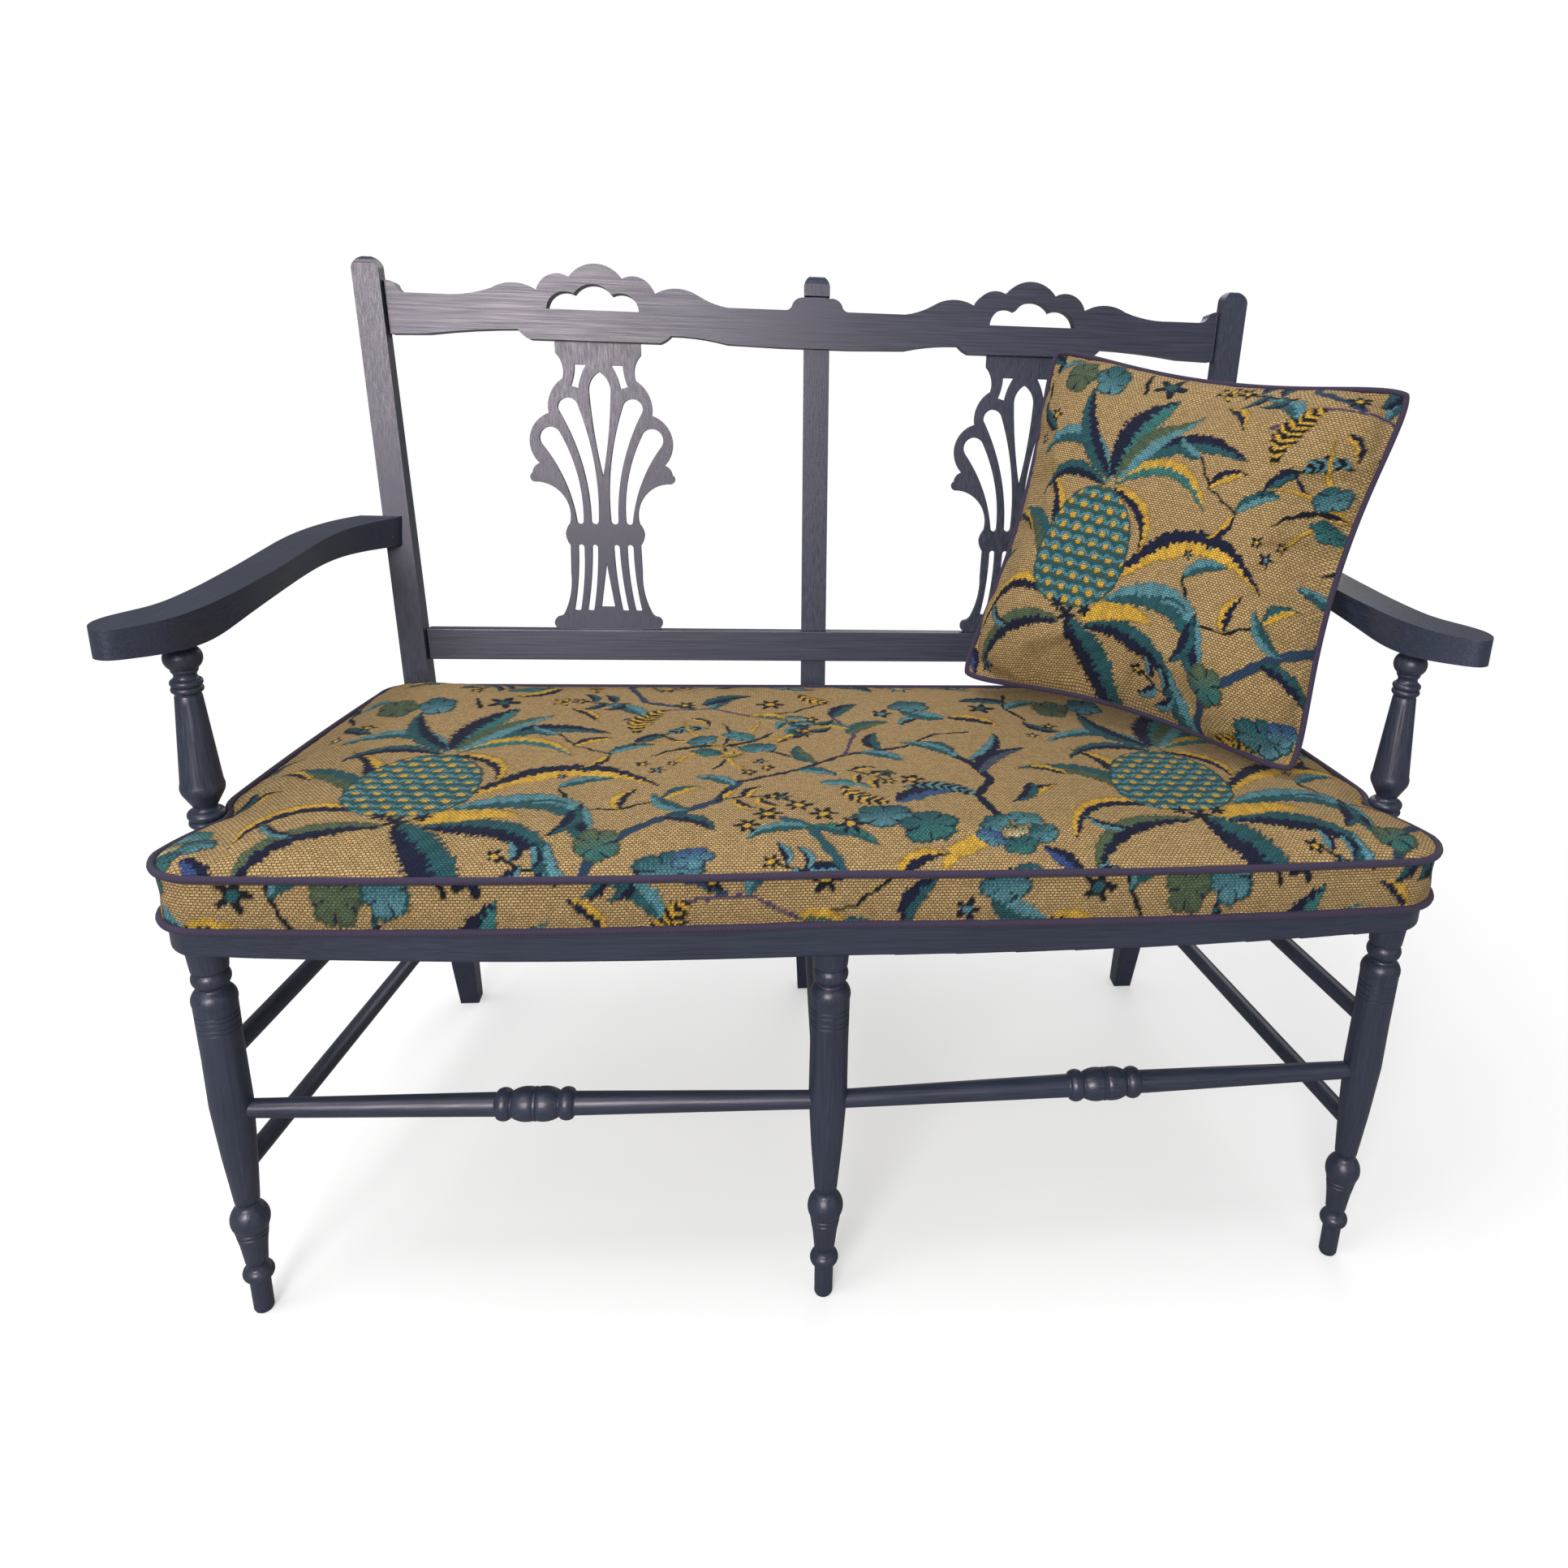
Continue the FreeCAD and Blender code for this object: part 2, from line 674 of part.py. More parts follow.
def board_corners(side, grow):
    front = size.front_rail_back_reach - size.seat_board_ledge - grow
    back = back_rail_front + size.seat_board_ledge + grow
    inner = size.seat_board_ledge * 0.1 - grow
    step = post_front - size.seat_board_ledge * 0.5 + grow
    outer_inset = size.side_rail_width - size.seat_board_ledge - grow
    post_side = post_centre(0) - size.post_width / 2 - size.seat_board_ledge * 0.5 + grow
    return [
        (side * inner, front, 0),
        (side * side_edge(front, outer_inset), front, 0),
        (side * side_edge(step, outer_inset), step, 0),
        (side * min(post_side, side_edge(step, outer_inset)), back, 0),
        (side * (inner + half_cross), back, 0),
        (side * (inner + half_cross), middle_front - size.seat_board_ledge * 0.5 + grow, 0),
        (side * inner, middle_front - size.seat_board_ledge * 0.5 + grow, 0),
    ]


ledge_cuts = []
board_base = seat_top - size.seat_board_thickness
for side in (-1, 1):
    name = side_name(side)
    board = padded("seat_board_pad_" + name, "XY_Plane", [curve_loop(board_corners(side, 0))],
                   "sizes.seat_board_thickness", board_base)
    keep(board, "seat_board_" + name)
    ledge_cuts.append(padded("ledge_" + name, "XY_Plane", [curve_loop(board_corners(side, size.fit_gap))],
                             "sizes.seat_board_thickness + sizes.overrun", board_base))

leg_holes = []
for which in ("left", "middle", "right"):
    mouth = leg_spots[which] + UP * (size.seat_underside - size.overrun)
    leg_holes.append(rod("leg_hole_" + which, "sizes.leg_spigot_radius + sizes.fit_gap",
                         "sizes.leg_spigot_length + sizes.overrun + sizes.fit_gap", mouth, UP))
keep(cut("front_rail_cut", front_rounded, leg_holes + side_tenon_cuts + [cross_mortise] + ledge_cuts),
     "seat_front_rail")
for side in (-1, 1):
    name = side_name(side)
    foot = Vector(side * size.baluster_half_spread, size.baluster_back,
                  seat_top - size.baluster_spigot_length - size.fit_gap)
    hole = rod("baluster_foot_hole_" + name, "sizes.baluster_spigot_radius + sizes.fit_gap",
               "sizes.baluster_spigot_length + sizes.overrun", foot, UP)
    ledge = ledge_cuts[0 if side < 0 else 1]
    keep(cut("side_rail_cut_" + name, side_rails[side], [hole, ledge]), "seat_side_rail_" + name)

# Glued corner blocks under the seat boards

block_pieces = []
block_top = seat_top - size.seat_board_thickness - size.fit_gap
for side in (-1, 1):
    front = size.front_rail_back_reach + size.fit_gap
    inner = side_edge(front, size.side_rail_width) - size.fit_gap
    corners = [
        (side * inner, front, 0),
        (side * (side_edge(front + size.block_leg, size.side_rail_width) - size.fit_gap),
         front + size.block_leg, 0),
        (side * (inner - size.block_leg), front, 0),
    ]
    block_pieces.append(padded("corner_block_" + side_name(side), "XY_Plane", [curve_loop(corners)],
                               "sizes.block_height", block_top - size.block_height))
blocks = doc.addObject("Part::Compound", "corner_block_pair")
blocks.Links = block_pieces
keep(blocks, "corner_blocks")


# Back posts
# Each is sawn to a front outline and a side outline, as a bent post is cut from plank.

def post_blank(name, side, half_foot, half_seat, half_top, foot_width, width, side_points):
    dome = 0.9
    shoulder = size.post_height - width * dome / 2
    above_foot = half_foot + (half_seat - half_foot) * size.post_foot_taper / size.post_bend_height
    front_points = [
        (side * half_foot - foot_width / 2, 0, 0),
        (side * half_foot + foot_width / 2, 0, 0),
        (side * above_foot + width / 2, size.post_foot_taper, 0),
        (side * half_seat + width / 2, size.post_bend_height, 0),
        (side * half_top + width / 2, shoulder, dome),
        (side * half_top - width / 2, shoulder, 0),
        (side * half_seat - width / 2, size.post_bend_height, 0),
        (side * above_foot - width / 2, size.post_foot_taper, 0),
    ]
    reach = size.post_foot_reach + size.post_depth * 2
    face = padded(name + "_face", "XZ_Plane", [curve_loop(front_points)],
                  "sizes.post_foot_reach + 2 * sizes.post_depth", -reach)
    span = side * half_seat - size.post_half_top / 2
    profile = padded(name + "_profile", "YZ_Plane", [curve_loop(side_points)], "sizes.post_half_top", span)
    return common(name + "_sawn", face, profile)


def raked(setback, slope_height):
    """Reach and height of a point given in the plane of the back."""
    reach = size.back_plane_reach + setback * math.cos(rake) + slope_height * math.sin(rake)
    return reach, seat_top + slope_height * math.cos(rake) - setback * math.sin(rake)


def post_side_points(front_setback, depth, top_depth, foot_depth, front_seat, foot_reach):
    slope_top = (size.post_height - seat_top) / math.cos(rake)
    bend = (size.post_bend_height - seat_top) / math.cos(rake)
    top_round = top_depth * 0.4
    front_top = raked(front_setback, slope_top - top_round)
    back_top = raked(front_setback + top_depth, slope_top - top_round)
    back_bend = raked(front_setback + depth, bend)
    front_bend = raked(front_setback, 0)
    taper_reach = foot_reach + (front_seat - foot_reach) * size.post_foot_taper / size.seat_underside
    return [
        (foot_reach, 0, 0),
        (foot_reach + foot_depth, 0, 0),
        (taper_reach + depth, size.post_foot_taper, 0),
        (front_seat + depth, size.seat_underside - size.seat_rail_height, 0.03),
        (back_bend[0], back_bend[1], 0),
        (back_top[0], back_top[1], 0.8),
        (front_top[0], front_top[1], 0),
        (front_bend[0], front_bend[1], 0),
        (front_seat, size.seat_underside, 0),
    ]


def softened(name, blank):
    """Round the long edges of a post."""
    doc.recompute()
    edges = []
    for number, edge in enumerate(blank.Shape.Edges, start=1):
        if edge.BoundBox.ZLength > size.seat_rail_height:
            edges.append((number, size.post_edge_round, size.post_edge_round))
    result = doc.addObject("Part::Fillet", name)
    result.Base = blank
    result.Edges = edges
    return result


top_rail_tenon_rise = size.top_rail_base + size.back_tenon_height * 0.5
lower_rail_tenon_rise = size.lower_rail_base + (size.lower_rail_height - size.back_tenon_height) / 2
tenon_setback = size.rail_setback + (size.rail_thickness - size.back_tenon_thickness) / 2


def rail_tenon(name, side, slope_height, grow):
    """A tenon of a back rail, or its mortise when it is grown by the fit gap."""
    middle = post_centre(slope_height + size.back_tenon_height / 2)
    start = middle - size.post_width / 2 - size.overrun
    low = start if side > 0 else -start - size.overrun - size.back_tenon_length
    corner = back_place(low - grow, tenon_setback - grow, slope_height - grow)
    extra = " + %d * sizes.fit_gap" % (2 if grow else 0)
    return block(name, "sizes.overrun + sizes.back_tenon_length" + extra,
                 "sizes.back_tenon_thickness" + extra, "sizes.back_tenon_height" + extra, corner)


top_tenons = []
lower_tenons = []
for side in (-1, 1):
    name = side_name(side)
    top_tenons.append(rail_tenon("top_tenon_" + name, side, top_rail_tenon_rise, 0))
    lower_tenons.append(rail_tenon("lower_tenon_" + name, side, lower_rail_tenon_rise, 0))
    post = "back_post_" + name
    add_socket(post, rail_tenon("top_mortise_" + name, side, top_rail_tenon_rise, size.fit_gap))
    add_socket(post, rail_tenon("lower_mortise_" + name, side, lower_rail_tenon_rise, size.fit_gap))


# Arms
# Each arm is sawn to a plan outline and a side outline, and cut off at the post.

arm_inner_shares = [
    (0.798, 1.00), (0.808, 0.965), (0.831, 0.905), (0.853, 0.830), (0.864, 0.740), (0.867, 0.56), (0.870, 0.38),
    (0.878, 0.240), (0.891, 0.140), (0.912, 0.070), (0.943, 0.024),
]
arm_tip_shares = [(0.970, 0.004), (0.990, 0.018), (1.0, 0.055)]
arm_outer_shares = [
    (0.990, 0.095), (0.963, 0.150), (0.947, 0.230), (0.939, 0.38), (0.937, 0.56), (0.935, 0.74),
    (0.924, 0.84), (0.903, 0.93), (0.874, 1.00),
]
arm_top_shares = [
    (0.0, 0.96), (0.10, 1.0), (0.20, 1.03), (0.40, 1.07), (0.60, 1.11), (0.80, 1.12), (1.0, 1.08),
]
arm_under_shares = [
    (0.0, 0.13), (0.08, 0.02), (0.16, -0.02), (0.26, 0.12), (0.40, 0.27), (0.60, 0.32), (0.80, 0.18), (1.0, -0.06),
]
baluster_top_share = 0.68
arm_length_back = size.back_plane_reach + size.post_depth + size.arm_front_reach


def spline(points):
    curve = Part.BSplineCurve()
    curve.interpolate([Vector(a, b, 0) for a, b in points])
    return curve


def arm_blank(side):
    name = side_name(side)
    half = size.arm_half_reach

    def plan(shares):
        return [(side * a * half, -size.arm_front_reach + b * arm_length_back) for a, b in shares]

    edge = plan(arm_inner_shares + arm_tip_shares + arm_outer_shares)
    plan_loop = [spline(edge), Part.LineSegment(Vector(*edge[-1], 0), Vector(*edge[0], 0))]

    def rise(shares):
        return [(-size.arm_front_reach + a * arm_length_back, size.arm_underside + b * size.arm_thickness)
                for a, b in shares]

    top = rise(arm_top_shares)
    under = rise(arm_under_shares)
    side_loop = [
        spline(top), Part.LineSegment(Vector(*top[-1], 0), Vector(*under[-1], 0)),
        spline(under), Part.LineSegment(Vector(*under[0], 0), Vector(*top[0], 0)),
    ]
    plan_body = padded("arm_plan_" + name, "XY_Plane", [plan_loop], "4 * sizes.arm_thickness",
                       size.arm_underside - size.arm_thickness * 2)
    span = min(side * half, 0) - size.overrun
    side_body = padded("arm_side_" + name, "YZ_Plane", [side_loop], "sizes.arm_half_reach + 2 * sizes.overrun",
                       span)
    return common("arm_sawn_" + name, plan_body, side_body)


for side in (-1, 1):
    name = side_name(side)
    half_box = size.post_half_top
    arm_crown = size.arm_underside + size.arm_thickness * max(share for _, share in arm_top_shares)
    arm_rise = (arm_crown - seat_top) / math.cos(rake)
    outer_face = post_centre(arm_rise) + size.post_width / 2 + size.fit_gap
    low = outer_face - half_box if side > 0 else -outer_face
    corner = back_place(low, -size.post_proud - size.fit_gap, 0)
    cutter = block("arm_end_saw_" + name, "sizes.post_half_top", "4 * sizes.post_depth",
                   "sizes.post_half_top", corner)
    hole_base = Vector(side * size.baluster_half_spread, size.baluster_back,
                       size.arm_underside - size.arm_thickness)
    hole = rod("arm_spigot_hole_" + name, "sizes.baluster_spigot_radius + sizes.fit_gap",
               "sizes.arm_thickness + sizes.baluster_spigot_length", hole_base, UP)
    seat = rod("arm_spigot_seat_" + name, "%g * sizes.baluster_radius + sizes.fit_gap" % baluster_top_share,
               "sizes.arm_thickness + sizes.fit_gap", hole_base, UP)
    dowel_rise = (size.arm_underside - seat_top) / math.cos(rake) + size.arm_thickness * 0.3
    backward = back_frame.Rotation.multVec(BACKWARD)
    dowel_across = post_centre(dowel_rise) + size.arm_dowel_outset
    dowel_spot = back_frame.multVec(Vector(side * dowel_across, -size.post_proud, dowel_rise))
    dowel_start = dowel_spot - backward * (size.arm_dowel_length / 2)
    dowel = rod("arm_dowel_rod_" + name, "sizes.arm_dowel_radius", "sizes.arm_dowel_length", dowel_start,
                backward)
    keep(dowel, "arm_dowel_" + name)
    for holder in ("arm", "post"):
        drill = rod("arm_dowel_hole_%s_%s" % (holder, name), "sizes.arm_dowel_radius + sizes.fit_gap",
                    "sizes.arm_dowel_length + 2 * sizes.fit_gap", dowel_start - backward * size.fit_gap,
                    backward)
        if holder == "post":
            add_socket("back_post_" + name, drill)
        else:
            keep(cut("arm_cut_" + name, arm_blank(side), [cutter, hole, seat, drill]), "arm_" + name)

# Turned arm supports

baluster_shares = [
    (0.73, 0.0, 0.3), (0.68, 0.05, 0), (0.64, 0.19, -0.2), (0.76, 0.205, 0.66), (0.76, 0.235, 0.66),
    (0.74, 0.275, -0.6), (0.62, 0.300, 0), (0.93, 0.345, 0.24), (1.0, 0.40, 0), (0.63, 0.770, -0.4),
    (0.65, 0.785, 0.6), (0.65, 0.812, 0.6), (0.65, 0.840, -0.5), (0.59, 0.870, 0.2), (0.63, 0.885, 0.5),
    (0.63, 0.970, 0), (0.66, 0.978, 0), (0.66, 1.0, 0),
]
for side in (-1, 1):
    name = side_name(side)
    rise = size.arm_underside - seat_top
    profile = [
        (0, -size.baluster_spigot_length, 0),
        (size.baluster_spigot_radius, -size.baluster_spigot_length, 0),
        (size.baluster_spigot_radius, 0, 0),
    ] + stretched(baluster_shares, size.baluster_radius, rise) + [
        (size.baluster_spigot_radius, rise, 0),
        (size.baluster_spigot_radius, rise + size.baluster_spigot_length * 0.9, 0),
        (0, rise + size.baluster_spigot_length * 0.9, 0),
    ]
    place = Placement(Vector(side * size.baluster_half_spread, size.baluster_back, seat_top), Rotation())
    keep(turned("baluster_turning_" + name, profile, place), "arm_baluster_" + name)


# Back rails and pierced splats

top_rail_lower_shares = [
    (0.0, 0.0, 0), (0.080, 0.0, 0), (0.215, 0.02, -0.06), (0.348, 0.105, 0.12), (0.374, 0.0, 0),
    (0.678, 0.0, 0.12), (0.704, 0.125, -0.03), (0.910, 0.025, 0),
]
top_rail_upper_shares = [
    (0.977, 0.65, -0.35), (0.955, 0.54, 0), (0.878, 0.54, -0.10), (0.762, 0.64, 0.28),
    (0.659, 0.64, 0.5), (0.584, 0.82, 0.52), (0.461, 0.82, 0.5), (0.386, 0.64, 0.28),
    (0.283, 0.64, -0.10), (0.214, 0.50, 0), (0.075, 0.50, -0.35), (0.060, 0.58, 0.35), (0.030, 0.67, 0.05),
    (0.0, 0.68, 0),
]
handle_shares = [(-1.0, 0.0, 0), (1.0, 0.0, 0.55), (0.41, 0.60, 0.54), (-0.41, 0.60, 0.55)]

top_rail_half = post_centre(size.top_rail_base) - size.top_rail_lap
crest_centre_share = 0.5225
handle_centre_share = 0.5295
crest_centre = top_rail_half * crest_centre_share
rail_end_low = post_centre(size.top_rail_base) - size.post_width / 2 - 2 * size.fit_gap
rail_end_high = rail_end_low + post_splay * size.top_rail_crest * 0.69 * math.cos(rake)
top_half = (
    stretched(top_rail_lower_shares, top_rail_half, size.top_rail_crest, (0, size.top_rail_base))
    + [(rail_end_low, size.top_rail_base + size.top_rail_crest * 0.01, 0),
       (rail_end_high, size.top_rail_base + size.top_rail_crest * 0.69, 0.2)]
    + stretched(top_rail_upper_shares, top_rail_half, size.top_rail_crest, (0, size.top_rail_base))
)
handles = [
    curve_loop(stretched(handle_shares, size.handle_half_width, size.handle_height,
                         (side * top_rail_half * handle_centre_share, size.top_rail_base + size.handle_base)))
    for side in (-1, 1)
]
top_blank = plate("top_rail_pad", [curve_loop(mirrored(top_half))] + handles, size.rail_setback,
                  "rail_thickness", back_frame)

lower_low = post_centre(size.lower_rail_base) - size.post_width / 2 - 2 * size.fit_gap
lower_high = lower_low + post_splay * size.lower_rail_height * math.cos(rake)
lower_half = [
    (0, size.lower_rail_base, 0), (lower_low, size.lower_rail_base, 0),
    (lower_high, size.lower_rail_base + size.lower_rail_height, 0),
    (0, size.lower_rail_base + size.lower_rail_height, 0),
]
lower_blank = plate("lower_rail_pad", [curve_loop(mirrored(lower_half))], size.rail_setback,
                    "rail_thickness", back_frame)

splat_base = size.lower_rail_base + size.lower_rail_height + size.fit_gap
splat_height = size.top_rail_base - splat_base - size.fit_gap
splat_foot_share = 0.5416
splat_foot_centre = lower_low * splat_foot_share
splat_lean = (crest_centre - splat_foot_centre) / splat_height
splat_half_shares = [
    (0.0, 0.0, 0), (0.72, 0.0, 0.6), (0.73, 0.043, -0.3), (0.62, 0.062, -0.13), (0.51, 0.204, 0),
    (0.50, 0.300, 0.15), (0.56, 0.340, 0.15), (0.493, 0.378, -0.5), (0.965, 0.520, 0.7), (0.985, 0.552, 0.3),
    (0.88, 0.585, 0.55), (0.72, 0.757, 0.3),
    (0.507, 0.875, -0.27), (0.593, 0.960, 0), (0.593, 1.0, 0), (0.0, 1.0, 0),
]
window_shares = [(0.173, 0.924, -0.1), (0.293, 0.844, 0), (0.40, 0.852, -0.1), (0.34, 0.924, 0)]
centre_loop_shares = [(0.0, 0.539, 0.04), (0.153, 0.829, 0.3), (0.0, 0.901, 0)]
inner_loop_shares = [
    (0.085, 0.388, 0.9), (0.195, 0.385, -0.13), (0.598, 0.772, 0.95), (0.308, 0.783, 0.10),
]
outer_loop_shares = [
    (0.300, 0.385, 0.9), (0.400, 0.385, -0.135), (0.848, 0.652, 0.95), (0.585, 0.695, 0.135),
]
outer_slot_shares = [(0.395, 0.067, 0.2), (0.489, 0.067, -0.05), (0.396, 0.293, 0.9), (0.305, 0.293, 0.05)]
inner_slot_shares = [(0.205, 0.067, 0.2), (0.298, 0.067, -0.04), (0.197, 0.293, 0.9), (0.113, 0.293, 0.04)]
wedge_shares = [(0.0, 0.079, 0), (0.10, 0.079, 0), (0.0, 0.240, 0)]


def leaning(points, side):
    """Lean a splat outline with the splay of the posts."""
    return [(side * (splat_foot_centre + splat_lean * (b - splat_base)) + a, b, bulge)
            for a, b, bulge in points]


def reversed_side(points):
    """Mirror a closed outline to the other half of its splat."""
    flipped = []
    for index in range(len(points) - 1, -1, -1):
        a, b, _ = points[index]
        flipped.append((-a, b, points[index - 1][2]))
    return flipped


splat_tongue_tools = {"top": [], "lower": []}
for side in (-1, 1):
    name = side_name(side)

    def placed(shares):
        return stretched(shares, size.splat_half_width, splat_height, (0, splat_base))

    loops = [curve_loop(leaning(mirrored(placed(splat_half_shares)), side)),
             curve_loop(leaning(mirrored(placed(centre_loop_shares)), side)),
             curve_loop(leaning(mirrored(placed(wedge_shares)), side))]
    for shares in (window_shares, inner_loop_shares, outer_loop_shares, outer_slot_shares, inner_slot_shares):
        loops.append(curve_loop(leaning(placed(shares), side)))
        loops.append(curve_loop(leaning(reversed_side(placed(shares)), side)))
    panel = plate("splat_pad_" + name, loops, size.splat_setback, "splat_thickness", back_frame)
    tongues = []
    for end, height, direction in (("lower", splat_base, -1), ("top", splat_base + splat_height, 1)):
        centre = side * (splat_foot_centre + splat_lean * (height - splat_base))
        low = height - size.splat_tongue if direction < 0 else height - size.overrun
        tongues.append(block("splat_tongue_%s_%s" % (end, name), "2 * sizes.splat_tongue_half",
                             "sizes.splat_thickness", "sizes.splat_tongue + sizes.overrun",
                             back_place(centre - size.splat_tongue_half, size.splat_setback, low)))
        splat_tongue_tools[end].append(
            block("splat_groove_%s_%s" % (end, name), "2 * sizes.splat_tongue_half + 2 * sizes.fit_gap",
                  "sizes.splat_thickness + 2 * sizes.fit_gap",
                  "sizes.splat_tongue + sizes.overrun + 2 * sizes.fit_gap",
                  back_place(centre - size.splat_tongue_half - size.fit_gap,
                             size.splat_setback - size.fit_gap, low - size.fit_gap)))
    keep(joined("splat_tongued_" + name, [panel] + tongues), "splat_" + name)

# The middle post and the rails are halved into each other

halving_front = size.rail_setback + size.rail_thickness - size.halving_depth
post_half = size.middle_post_width / 2


def halving(name, low, height_rule):
    """The notch in the back of a rail that takes the middle post."""
    corner = back_place(-post_half - size.fit_gap, halving_front, low - size.overrun)
    return block(name, "sizes.middle_post_width + 2 * sizes.fit_gap", "sizes.halving_depth + sizes.overrun",
                 height_rule + " + 2 * sizes.overrun", corner)


def seat_notch(name, low, height_rule):
    """The notch in the front of the middle post that takes a rail."""
    corner = back_place(-post_half - size.overrun, size.middle_post_setback - size.overrun, low - size.fit_gap)
    room = halving_front - size.middle_post_setback
    return block(name, "sizes.middle_post_width + 2 * sizes.overrun", room + size.overrun,
                 height_rule + " + 2 * sizes.fit_gap", corner)


top_middle_rule = "0.70 * sizes.top_rail_crest"
keep(cut("top_rail_cut", joined("top_rail_tenoned", [top_blank] + top_tenons),
         [halving("top_halving", size.top_rail_base, top_middle_rule)] + splat_tongue_tools["top"]),
     "top_rail")
keep(cut("lower_rail_cut", joined("lower_rail_tenoned", [lower_blank] + lower_tenons),
         [halving("lower_halving", size.lower_rail_base, "sizes.lower_rail_height")]
         + splat_tongue_tools["lower"]),
     "lower_back_rail")
add_socket("back_post_middle", seat_notch("top_rail_notch", size.top_rail_base, top_middle_rule))
add_socket("back_post_middle",
           seat_notch("lower_rail_notch", size.lower_rail_base, "sizes.lower_rail_height"))

# Sawn posts with all their sockets

for side in (-1, 0, 1):
    if side == 0:
        blank = post_blank("middle_post", 1, 0, 0, 0, size.middle_post_foot_width, size.middle_post_width,
                           post_side_points(size.middle_post_setback, size.middle_post_depth,
                                            size.middle_post_depth, size.post_foot_depth * 0.9,
                                            middle_front, middle_foot_reach))
        label = "back_post_middle"
    else:
        blank = post_blank("post_" + side_name(side), side, size.post_half_foot, size.post_half_seat,
                           size.post_half_top, size.post_foot_width, size.post_width,
                           post_side_points(-size.post_proud, size.post_depth, size.post_top_depth,
                                            size.post_foot_depth, post_front, size.post_foot_reach))
        label = "back_post_" + side_name(side)
    keep(cut(label + "_cut", blank, sockets[label]), label)


# Seat cushion
# One plan outline, drawn in towards the middle by an inset at each level, is lofted upwards.

squab_front_shares = [(0.0, 0.0, 0.025), (0.922, 0.014, 0.40), (1.0, 0.104, 0.08)]
squab_rear_shares = [(0.966, 0.348, 0.02), (0.885, 0.939, 0.38), (0.836, 1.0, 0), (0.0, 1.0, 0)]
squab_waist_share = 0.961
squab_level_shares = [
    (0.0, 0.96), (0.05, 0.4), (0.24, 0.04), (0.5, -0.16), (0.76, 0.04), (0.94, 0.4), (1.0, 1.04),
]
crown_level_shares = [(0.36, 0.136), (0.72, 0.318), (0.93, 0.636), (1.0, 1.0)]
cord_inset_share = 0.6
squab_base = seat_top + size.rest_gap
squab_middle = -size.squab_front_reach + size.squab_depth / 2


def squab_outline():
    """Half the plan of the seat cushion, with a dent that lets it rise past the arm support."""
    start = (0, -size.squab_front_reach)
    waist = size.squab_half_width * squab_waist_share
    dent_half = size.baluster_radius * 1.1
    cord_reach = size.piping_radius * (1 - cord_inset_share)
    deepest = size.baluster_half_spread - size.baluster_radius - size.squab_support_gap - cord_reach
    bulge = -min(0.9, max(0.0, (waist - deepest) / dent_half))
    dent = [(waist, size.baluster_back - dent_half, bulge), (waist, size.baluster_back + dent_half, 0.12)]
    return (stretched(squab_front_shares, size.squab_half_width, size.squab_depth, start) + dent
            + stretched(squab_rear_shares, size.squab_half_width, size.squab_depth, start))


def squab_wire(inset, height):
    """The plan outline of the seat cushion, drawn in all round."""
    across = (size.squab_half_width - inset) / size.squab_half_width
    along = (size.squab_depth / 2 - inset) / (size.squab_depth / 2)
    points = [(a * across, squab_middle + (b - squab_middle) * along, bulge)
              for a, b, bulge in mirrored(squab_outline())]
    wire = Part.Wire([curve.toShape() for curve in curve_loop(points)])
    wire.translate(Vector(0, 0, height))
    return wire


def squab_solid(shrink):
    """The boxed cushion with its crown, made smaller all round by shrink."""
    height = size.squab_height - 2 * shrink
    wires = [squab_wire(inset * size.squab_draw + shrink, squab_base + shrink + share * height)
             for share, inset in squab_level_shares]
    rim = squab_base + size.squab_height - shrink
    wires += [squab_wire(inset * size.squab_crown_reach + shrink, rim + share * size.squab_crown)
              for share, inset in crown_level_shares]
    return Part.makeLoft(wires, True, True)


def rim_band(wire_at, middle, outside, inside):
    """A round cord laid along an outline, open on the inner side."""
    radius = size.piping_radius
    angles = [math.radians(step * 45) for step in range(-2, 3)]
    wires = [wire_at(-outside - radius * math.cos(turn), middle + radius * math.sin(turn)) for turn in angles]
    band = Part.makeLoft(wires, True, True)
    low = wire_at(inside, middle - radius * 2)
    high = wire_at(inside, middle + radius * 2)
    return band.cut(Part.makeLoft([low, high], True, True))


def piece(label, shape, place=Placement()):
    feature = doc.addObject("Part::Feature", label)
    feature.Shape = shape
    feature.Placement = place
    return keep(feature, label)


squab_outer = squab_solid(0)
squab_cavity = squab_solid(size.cover_thickness)
squab_core = squab_solid(size.cover_thickness + 2 * size.fit_gap)
piece("seat_cushion_cover", squab_outer.cut(squab_cavity))
piece("seat_cushion_core", squab_core)
for level, height in (("top", squab_base + size.squab_height * 0.955),
                      ("bottom", squab_base + size.piping_radius)):
    band = rim_band(squab_wire, height, -size.piping_radius * cord_inset_share, size.piping_radius * 2.2)
    piece("seat_cushion_piping_" + level, band.cut(squab_outer))
zip_back = -size.squab_front_reach + size.squab_depth
zip_box = Part.makeBox(size.squab_zip_length, size.zip_proud + size.overrun, size.zip_height,
                       Vector(-size.squab_zip_length / 2, zip_back - size.overrun,
                              squab_base + (size.squab_height - size.zip_height) / 2))
piece("seat_cushion_zip", zip_box.cut(squab_outer))


# Scatter cushion, drawn upright about its own middle

scatter_level_shares = [
    (0.0, 0.89, 0.93, 1.0, 0.35), (0.30, 0.845, 0.80, 0.90, 0.35), (0.60, 0.765, 0.64, 0.79, 0.36),
    (0.86, 0.61, 0.46, 0.61, 0.38), (1.0, 0.33, 0.22, 0.32, 0.4),
]


